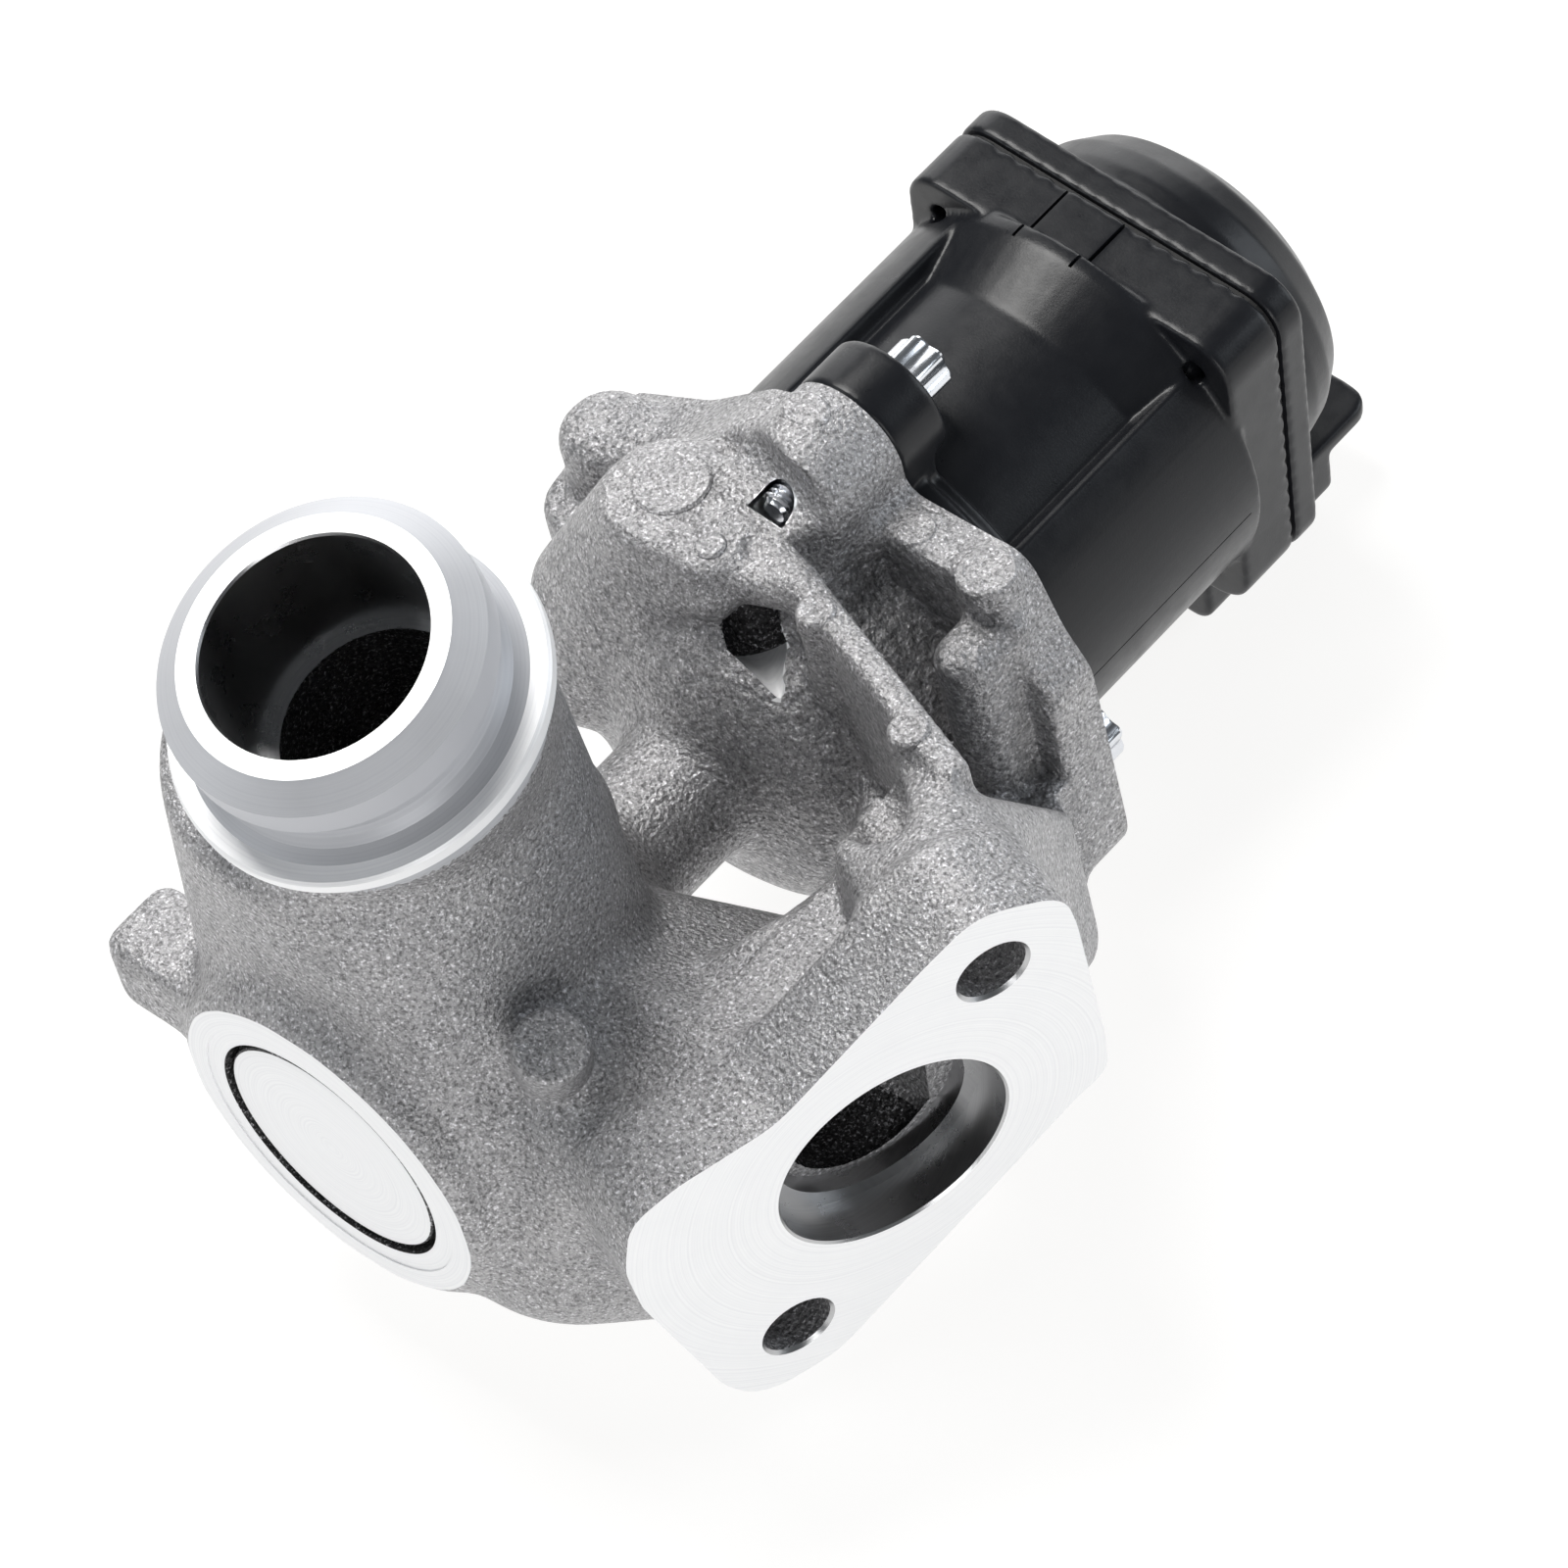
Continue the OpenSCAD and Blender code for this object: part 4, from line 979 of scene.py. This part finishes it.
def metal_material(name, tone, rough=0.25, grain=0.5, bump=0.02, metallic=1.0, spots=0.0):
    n = Nodes(name)
    smear = n.noise(4.0, 4.0, 0.62)
    fine = n.noise(grain, 3.0, 0.6)
    c = n.mix(smear, tuple(k * 0.86 for k in tone), tuple(min(1, k * 1.1) for k in tone))
    if spots:
        s = n.ramp(n.noise(1.3, 3.0, 0.6), (0.60, (0, 0, 0)), (0.72, (1, 1, 1)))
        c = n.mix(n.math("MULTIPLY", s, spots), c, tuple(k * 0.45 for k in tone))
    r = n.math("ADD", n.span(smear, 0.3, 0.7, rough * 0.75, rough * 1.3), n.math("MULTIPLY", fine, 0.05))
    return n.set(Base_Color=c, Metallic=metallic, Roughness=r, Normal=n.bump(fine, bump, 0.6))


def matte_material(name, tone, rough=0.6, grain=0.4, bump=0.05, vary=0.15):
    n = Nodes(name)
    fine = n.noise(grain, 3.0, 0.6)
    broad = n.noise(6.0, 3.0, 0.55)
    c = n.mix(broad, tuple(k * (1 - vary) for k in tone), tuple(min(1, k * (1 + vary)) for k in tone))
    r = n.span(fine, 0.3, 0.7, rough - 0.06, rough + 0.06)
    return n.set(Base_Color=c, Roughness=r, Normal=n.bump(fine, bump, 0.6))


def copper_material(name):
    n = Nodes(name)
    v = n.new("ShaderNodeMapping")
    v.inputs["Scale"].default_value = (1, 1, 1)
    n.link(n.pos, v.inputs["Vector"])
    w = n.new("ShaderNodeTexWave", Scale=260.0, Distortion=0.4, Detail=2.0)
    w.wave_type, w.bands_direction = "BANDS", "Y"
    n.link(v.outputs[0], w.inputs["Vector"])
    c = n.mix(w.outputs["Fac"], (0.42, 0.13, 0.045), (0.82, 0.36, 0.16))
    return n.set(Base_Color=c, Metallic=0.9, Roughness=n.span(n.noise(2.0), 0.3, 0.7, 0.26, 0.4), Normal=n.bump(w.outputs["Fac"], 0.25, 0.8))


def board_material(name):
    n = Nodes(name)
    v = n.t.nodes.new("ShaderNodeTexVoronoi")
    v.feature, v.distance = "DISTANCE_TO_EDGE", "MANHATTAN"
    v.inputs["Scale"].default_value = 420.0
    n.link(n.pos, v.inputs["Vector"])
    track = n.ramp(v.outputs["Distance"], (0.04, (1, 1, 1)), (0.07, (0, 0, 0)))
    c = n.mix(track, (0.012, 0.10, 0.05), (0.03, 0.20, 0.10))
    return n.set(Base_Color=c, Roughness=n.span(n.noise(3.0), 0.3, 0.7, 0.28, 0.42), Normal=n.bump(track, 0.04, 0.6))


def magnet_material(name):
    n = Nodes(name)
    fine = n.noise(0.5, 4.0, 0.7)
    c = n.mix(fine, (0.035, 0.035, 0.04), (0.09, 0.09, 0.10))
    return n.set(Base_Color=c, Metallic=0.55, Roughness=n.span(fine, 0.3, 0.7, 0.42, 0.6), Normal=n.bump(fine, 0.06, 0.7))


def laminated_material(name):
    """Stack of thin sheets, seen as fine lines across the motor axis."""
    n = Nodes(name)
    w = n.new("ShaderNodeTexWave", Scale=320.0, Distortion=0.15, Detail=1.0)
    w.wave_type, w.bands_direction = "BANDS", "Y"
    n.link(n.pos, w.inputs["Vector"])
    c = n.mix(w.outputs["Fac"], (0.16, 0.165, 0.175), (0.42, 0.43, 0.45))
    return n.set(Base_Color=c, Metallic=0.9, Roughness=n.span(n.noise(2.5), 0.3, 0.7, 0.34, 0.5), Normal=n.bump(w.outputs["Fac"], 0.10, 0.8))


def gasket_material(name):
    n = Nodes(name)
    fibre = n.noise(0.8, 5.0, 0.75, distortion=1.4)
    c = n.mix(fibre, (0.035, 0.036, 0.04), (0.11, 0.11, 0.115))
    return n.set(Base_Color=c, Roughness=n.span(fibre, 0.3, 0.7, 0.6, 0.85), Normal=n.bump(fibre, 0.12, 0.7))
# ---------------------------------------------------------------- moulded parts, screws, spring
CAP_Y0, CAP_Y1, CAP_Y2 = 146.5, 156.7, 161.5
CORNER = 21.0


def rounded_copy(name, node, h, edge, blur, faces, lo, hi, extra=None):
    """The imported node's surface with its edges rounded, as a new mesh."""
    V, T = node_surface(node)
    f = Field(lo, hi, h, 4.0)
    f.from_surface(V, T)
    if extra:
        extra(f)
    f.open(edge)
    f.close(edge * 0.6)
    f.blur(blur)
    ob = outward(f.mesh(name))
    decimate(ob, faces)
    return ob


def block(name, lo, hi, local):
    return extrude(name, [[lo[0], lo[1]], [hi[0], lo[1]], [hi[0], hi[1]], [lo[0], hi[1]]], lo[2], hi[2], local)


def square_outline(h, r):
    return rounded([[h, h, r], [-h, h, r], [-h, -h, r], [h, -h, r]])


def build_housing(mat):
    lo, hi = [-44, 98, -44], [44, 186, 46]
    ob = rounded_copy("housing", "motor_housing", 0.34, 0.32, 0.15, 170000, lo, hi)
    cuts = []
    for x in (-7.45, 2.0):
        cuts.append(block("groove", [x, CAP_Y0 - 1.4, 25.9], [x + 0.5, CAP_Y1 + 2, 30], TU))
    cuts.append(block("hook", [-5.6, CAP_Y0 - 3, 24.9], [0.6, CAP_Y0 + 0.5, 26.2], TU))
    # clean seam under the cover
    cuts.append(block("seam", [-31, CAP_Y1 - 0.25, -25.2], [31, CAP_Y1 + 2.5, 31], TU))
    for x in (-1, 1):
        for z in (-1, 1):
            p = TU.at(x * CORNER, 0, z * CORNER)
            cuts.append(bar("corner_hole", 1.55, CAP_Y0 - 1, CAP_Y1 + 1, (p[0], p[2]), 40, c0=0.0))
    # parting lines of the moulding, along the sides of the barrel
    for a in (92.0, -88.0):
        L = Local(rot("y", CLOCK + a), [0, 0, 0])
        cuts.append(block("parting", [-0.11, 109.5, 29.82], [0.11, CAP_Y0 - 1.2, 33], L))
    boolean(ob, cuts)
    ob.data.materials.clear()
    ob.data.materials.append(mat)
    return smooth(ob, 35)


def build_cover(mat):
    lo, hi = [-34, 152, -34], [34, 180, 34]
    ob = rounded_copy("cover", "cap_cover", 0.32, 0.38, 0.16, 140000, lo, hi)
    cuts = []
    for x in (-1, 1):
        for z in (-1, 1):
            p = TU.at(x * CORNER, 0, z * CORNER)
            cuts.append(bar("screw_seat", 3.7, CAP_Y2 - 1.6, CAP_Y2 + 9, (p[0], p[2]), 56))
            cuts.append(bar("screw_way", 1.65, CAP_Y1 - 2, CAP_Y2, (p[0], p[2]), 40))
    # flat foot, so that the seam is one even line
    cuts.append(block("foot", [-31, 150, -31], [31, CAP_Y1 + 0.42, 31], TU))
    boolean(ob, cuts)
    ob.data.materials.clear()
    ob.data.materials.append(mat)
    return smooth(ob, 35)


def join(name, obs):
    V, F, M, n = [], [], [], 0
    mats = []
    for o in obs:
        me = o.data
        v = np.empty(len(me.vertices) * 3, np.float32)
        me.vertices.foreach_get("co", v)
        V.append(v.reshape(-1, 3))
        F += [[n + i for i in p.vertices] for p in me.polygons]
        n += len(me.vertices)
        bpy.data.objects.remove(o)
    me = bpy.data.meshes.new(name)
    me.from_pydata([tuple(p) for p in np.concatenate(V)], [], F)
    me.validate()
    ob = bpy.data.objects.new(name, me)
    bpy.context.scene.collection.objects.link(ob)
    return ob


def lobed(r, rl, out, lobes=6, n=12):
    """Outline of a lobed head: round lobes with soft valleys."""
    P = []
    for i in range(lobes * n):
        a = 2 * math.pi * i / (lobes * n)
        w = 0.5 + 0.5 * math.cos(lobes * a)
        rr = rl + (out - rl) * (w ** 1.1) + (r - r)
        P.append([rr * math.cos(a), rr * math.sin(a)])
    return P


def lobed_head(name, local, y0, y1):
    """Six-lobed head with a chamfered top, and a shallow dish in its end."""
    V, F = [], []
    rows = []
    for y, k in ((y0, 1.02), (y0 + 0.3, 1.0), (y1 - 0.7, 1.0), (y1 - 0.25, 0.93), (y1, 0.80), (y1 + 0.0, 0.62), (y1 - 0.45, 0.52)):
        P = lobed(0, 3.35, 4.2)
        rows.append(list(range(len(V), len(V) + len(P))))
        V += [local.at(p[0] * k, p[1] * k, y) for p in P]
    n = len(rows[0])
    for a, b in zip(rows, rows[1:]):
        F += [[a[i], a[(i + 1) % n], b[(i + 1) % n], b[i]] for i in range(n)]
    F.append(rows[0][::-1])
    F.append(rows[-1])
    me = bpy.data.meshes.new(name)
    me.from_pydata([tuple(to_row(v)) for v in V], [], F)
    me.validate()
    ob = bpy.data.objects.new(name, me)
    bpy.context.scene.collection.objects.link(ob)
    return outward(ob)


def build_motor_screws(mat):
    obs = []
    for a in EARS:
        p = rot("y", CLOCK + a) @ np.array([0, 0, EAR_R])
        L = Local(YUP.R @ rot("z", 17 + a), [p[0], 0, p[2]])
        P = [[0, 90.4], [1.6, 90.4], [2.05, 90.9]]
        y = 91.0
        while y < 104.4:
            P += [[2.08, y], [2.5, y + 0.22], [2.5, y + 0.40], [2.08, y + 0.62]]
            y += 0.8
        P += [[2.2, 104.9], [2.2, 113.6], [4.6, 113.55], [5.0, 113.75], [5.0, 114.55], [4.7, 114.85], [4.3, 114.95], [0, 114.95]]
        obs.append(revolve("shank", P, L, 40))
        obs.append(lobed_head("head", L, 114.9, 120.6))
    ob = join("fixing_screws", obs)
    ob.data.materials.append(mat)
    return smooth(ob, 28)


def build_cover_screws(mat):
    obs = []
    for i, x in enumerate((-1, 1)):
        for k, z in enumerate((-1, 1)):
            p = TU.at(x * CORNER, 0, z * CORNER)
            L = Local(YUP.R @ rot("z", 23 * (1 + i + 2 * k)), [p[0], 0, p[2]])
            P = [[0, 147.8], [0.7, 147.8], [1.05, 148.3]]
            y = 148.5
            while y < 156.0:
                P += [[1.08, y], [1.46, y + 0.32], [1.46, y + 0.42], [1.08, y + 0.75]]
                y += 0.95
            P += [[1.2, 156.6], [1.2, 159.9], [2.9, 159.95], [3.1, 160.15], [3.1, 160.9], [2.85, 161.5], [2.3, 162.05], [1.5, 162.35], [0, 162.42]]
            s = revolve("screw", P, L, 40)
            star = extrude("drive", [[r * math.cos(t), r * math.sin(t)] for t, r in ((math.pi * j / 36, 1.12 + 0.3 * math.cos(6 * math.pi * j / 36)) for j in range(72))], 160.9, 164, L)
            boolean(s, [star])
            obs.append(s)
    ob = join("lid_screws", obs)
    ob.data.materials.append(mat)
    return smooth(ob, 28)


def build_spring(mat):
    """Wire along the helix of the return spring, with closed ends."""
    turns, r, w, y0, y1 = 4.0, 9.8, 0.9, 80.1, 92.1
    steps, seg = 260, 14
    V, F = [], []
    for i in range(steps + 1):
        t = i / steps
        a = 2 * math.pi * turns * t
        c = np.array([r * math.cos(a), y0 + (y1 - y0) * t, r * math.sin(a)])
        d = unit([-r * math.sin(a) * 2 * math.pi * turns, y1 - y0, r * math.cos(a) * 2 * math.pi * turns])
        u = unit([math.cos(a), 0, math.sin(a)])
        v = np.cross(d, u)
        for k in range(seg):
            b = 2 * math.pi * k / seg
            V.append(c + w * (math.cos(b) * u + math.sin(b) * v))
    for i in range(steps):
        for k in range(seg):
            a, b = i * seg + k, i * seg + (k + 1) % seg
            F.append([a, b, b + seg, a + seg])
    F += [list(range(seg))[::-1], list(range(steps * seg, steps * seg + seg))]
    me = bpy.data.meshes.new("coil_spring")
    me.from_pydata([tuple(to_row(v)) for v in V], [], F)
    me.validate()
    ob = bpy.data.objects.new("coil_spring", me)
    bpy.context.scene.collection.objects.link(ob)
    outward(ob)
    me.materials.append(mat)
    return smooth(ob, 40)


def build_plug(mat, rim_shade):
    """Pressed-in core plug: a shallow cup with a rolled rim and a slightly dished face."""
    P = [[0, 0.62], [6, 0.60], [12, 0.55], [15.9, 0.5], [16.35, 0.58], [16.6, 0.80], [16.7, 1.4], [16.76, 2.6], [17.1, 2.8], [17.54, 2.85], [17.54, 4.6], [16.2, 4.6], [16.2, 2.4], [15.6, 1.9], [0, 1.9]]
    ob = revolve("plug", P, YUP, 160)
    ob.data.materials.append(mat)
    ob.data.materials.append(rim_shade)
    # faces of the rolled rim take the second material: a dark line of painted shade round the face
    for f in ob.data.polygons:
        q = np.array(f.center) * 1000 + OFF
        f.material_index = int(math.hypot(q[0], q[2]) > 16.45 and q[1] > 0.62)
    return smooth(ob, 22)

# ---------------------------------------------------------------- stage, lights, camera
CAM = np.array([[0.74223214, 0.6478403, -0.17144796], [-0.43636983, 0.66139258, 0.61003379], [0.50859888, -0.37797197, 0.77360479]])


def place_camera():
    cam = bpy.data.cameras.new("camera")
    cam.sensor_width = cam.sensor_height = 36.0
    cam.lens = 202.5
    cam.clip_start, cam.clip_end = 0.05, 20.0
    ob = bpy.data.objects.new("camera", cam)
    bpy.context.scene.collection.objects.link(ob)
    m = Matrix.Identity(4)
    for k in range(3):
        for r in range(3):
            m[r][k] = float(CAM[k, r])
    m.translation = Vector((0.5198, -0.3873, 0.8657))
    ob.matrix_world = m
    bpy.context.scene.camera = ob
    return ob


def softbox(name, towards, dist, size, power, colour, aim=(-0.045, 0.02, 0.01), size_y=None):
    """Area light; towards is a direction in camera terms (right, up, at the viewer)."""
    light = bpy.data.lights.new(name, "AREA")
    light.shape = "RECTANGLE"
    light.size, light.size_y = size, size_y or size
    light.energy, light.color = power, colour
    ob = bpy.data.objects.new(name, light)
    bpy.context.scene.collection.objects.link(ob)
    d = CAM.T @ unit(towards)
    ob.location = Vector(aim) + Vector(d) * dist
    ob.rotation_euler = (Vector(aim) - ob.location).to_track_quat("-Z", "Y").to_euler()
    return ob


def stage(low):
    me = bpy.data.meshes.new("floor")
    s = 3.0
    me.from_pydata([(-s, -s, low), (s, -s, low), (s, s, low), (-s, s, low)], [], [(0, 1, 2, 3)])
    floor = bpy.data.objects.new("floor", me)
    bpy.context.scene.collection.objects.link(floor)
    n = Nodes("floor_white")
    v = n.noise(60.0, 2.0, 0.5)
    n.set(Base_Color=n.mix(v, (0.20, 0.20, 0.20), (0.22, 0.22, 0.22)), Roughness=0.9, Specular_IOR_Level=0.1)
    n.b.inputs["Emission Color"].default_value = (1.0, 0.995, 0.985, 1)
    n.b.inputs["Emission Strength"].default_value = 0.88
    me.materials.append(n.m)
    w = bpy.data.worlds.new("studio")
    w.use_nodes = True
    w.node_tree.nodes["Background"].inputs["Color"].default_value = (0.90, 0.95, 1.0, 1)
    w.node_tree.nodes["Background"].inputs["Strength"].default_value = 0.12
    bpy.context.scene.world = w
    softbox("key", (-0.45, 0.95, 0.55), 0.85, 0.42, 7.0, (1.0, 0.99, 0.97))
    softbox("left", (-1.0, 0.10, 0.42), 0.75, 0.30, 0.9, (0.95, 0.98, 1.0))
    softbox("right", (1.0, 0.55, 0.25), 0.9, 0.5, 2.2, (0.88, 0.94, 1.0))
    softbox("front", (0.12, -0.62, 0.78), 0.9, 0.45, 2.2, (1.0, 1.0, 1.0))
    softbox("floor_light", (0.0, 1.0, -0.55), 1.1, 1.0, 7.0, (1.0, 1.0, 1.0))
    v = bpy.context.scene.view_settings
    v.view_transform = "Standard"
    v.look = "None"
    v.exposure, v.gamma = 0.0, 1.0

# ---------------------------------------------------------------- build
F_AXIS, S_AXIS = FL.R[:, 2], SP.R[:, 2]
cast_grey = cast_material("cast_skin", 0.46, 0.40, pebble_bump_and_shade=0.9)
# near-black copy of the cast finish: painted shade for the hollows, the drilled hole and the plug rim
cast_shade = cast_material("cast_painted_shade", 0.085, 0.9)
face_fl = machined_material("flange_face", FL.o, F_AXIS, tone=0.97, rough=0.45, depth=0.008, metallic=0.15)
# spigot sides: the turned aluminium painted darker and slightly bluer than the end ring, as painted shade
shaded_spigot_face = machined_material("spigot_side_painted_shade", SP.o, S_AXIS, tone=0.55, rough=0.46, depth=0.012, tint=(0.97, 0.985, 1.03), metallic=0.25)
face_end = machined_material("spigot_end", SP.o, S_AXIS, tone=0.93, rough=0.45, depth=0.010, metallic=0.25)
face_y = machined_material("turned_face", (0, 0, 0), (0, 1, 0), tone=0.93, rough=0.42, depth=0.010, metallic=0.25)
bore = machined_material("bored_face", SP.o, S_AXIS, tone=0.52, rough=0.28)
black = plastic_material("moulded_black", tone=(0.0085, 0.0092, 0.0115), rough=0.30)
zinc = metal_material("zinc_plate", (0.80, 0.82, 0.86), rough=0.16, grain=0.8, bump=0.012)
LOOK = {
    "machined_aluminium": face_y,
    "seat_steel": metal_material("hard_steel", (0.42, 0.41, 0.40), rough=0.30, spots=0.2),
    "stem_steel": metal_material("ground_steel", (0.52, 0.52, 0.54), rough=0.17, grain=0.3),
    "bronze": metal_material("sintered_bronze", (0.56, 0.38, 0.20), rough=0.38, grain=0.35, bump=0.05, spots=0.3),
    "spring_steel": metal_material("spring_wire", (0.40, 0.41, 0.43), rough=0.26, grain=0.4),
    "black_plastic": black,
    "white_plastic": matte_material("nylon_white", (0.76, 0.74, 0.68), rough=0.45, vary=0.05),
    "pale_plastic": matte_material("nylon_pale", (0.68, 0.65, 0.56), rough=0.42, vary=0.07),
    "rubber_black": matte_material("rubber", (0.018, 0.018, 0.019), rough=0.66, grain=0.6, bump=0.08, vary=0.2),
    "graphite_gasket": gasket_material("graphite_sheet"),
    "zinc_steel": zinc,
    "bearing_steel": metal_material("bearing_steel_ground", (0.60, 0.61, 0.63), rough=0.12, grain=0.3),
    "core_steel": laminated_material("laminated_steel"),
    "copper": copper_material("enamelled_copper"),
    "magnet": magnet_material("sintered_magnet"),
    "board_green": board_material("circuit_board"),
    "chip_black": matte_material("epoxy_black", (0.022, 0.022, 0.024), rough=0.48, vary=0.2),
    "tin": metal_material("tinned_brass", (0.74, 0.72, 0.64), rough=0.24, grain=0.3, spots=0.15),
}
SLOT = {s["node"]: s["material_slot"] for s in frame["record"]["subparts"]}
place_camera()
for name, ob in frame["nodes"].items():
    if SLOT.get(name) in LOOK:
        ob.data.materials.clear()
        ob.data.materials.append(LOOK[SLOT[name]])
        smooth(ob, 30)
casting = build_casting(0.7, [cast_grey, cast_shade, face_fl, shaded_spigot_face, face_y, bore, face_end])
smooth(casting, 32)
sharpen(casting.data, 15)
NEW = [(casting, "valve_body"), (build_housing(black), "motor_housing"), (build_cover(black), "cap_cover"),
       (build_motor_screws(zinc), "motor_screws"), (build_cover_screws(zinc), "cover_screws"),
       (build_plug(face_y, cast_shade), "core_plug"), (build_spring(LOOK["spring_steel"]), "return_spring")]
for ob, node in NEW:
    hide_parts(node)
    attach(ob, "body")
    print("piece", ob.name, len(ob.data.polygons))
    if node == "return_spring":
        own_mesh(ob)
stage(float(CAD_BOX[0][2]) - 0.0005)
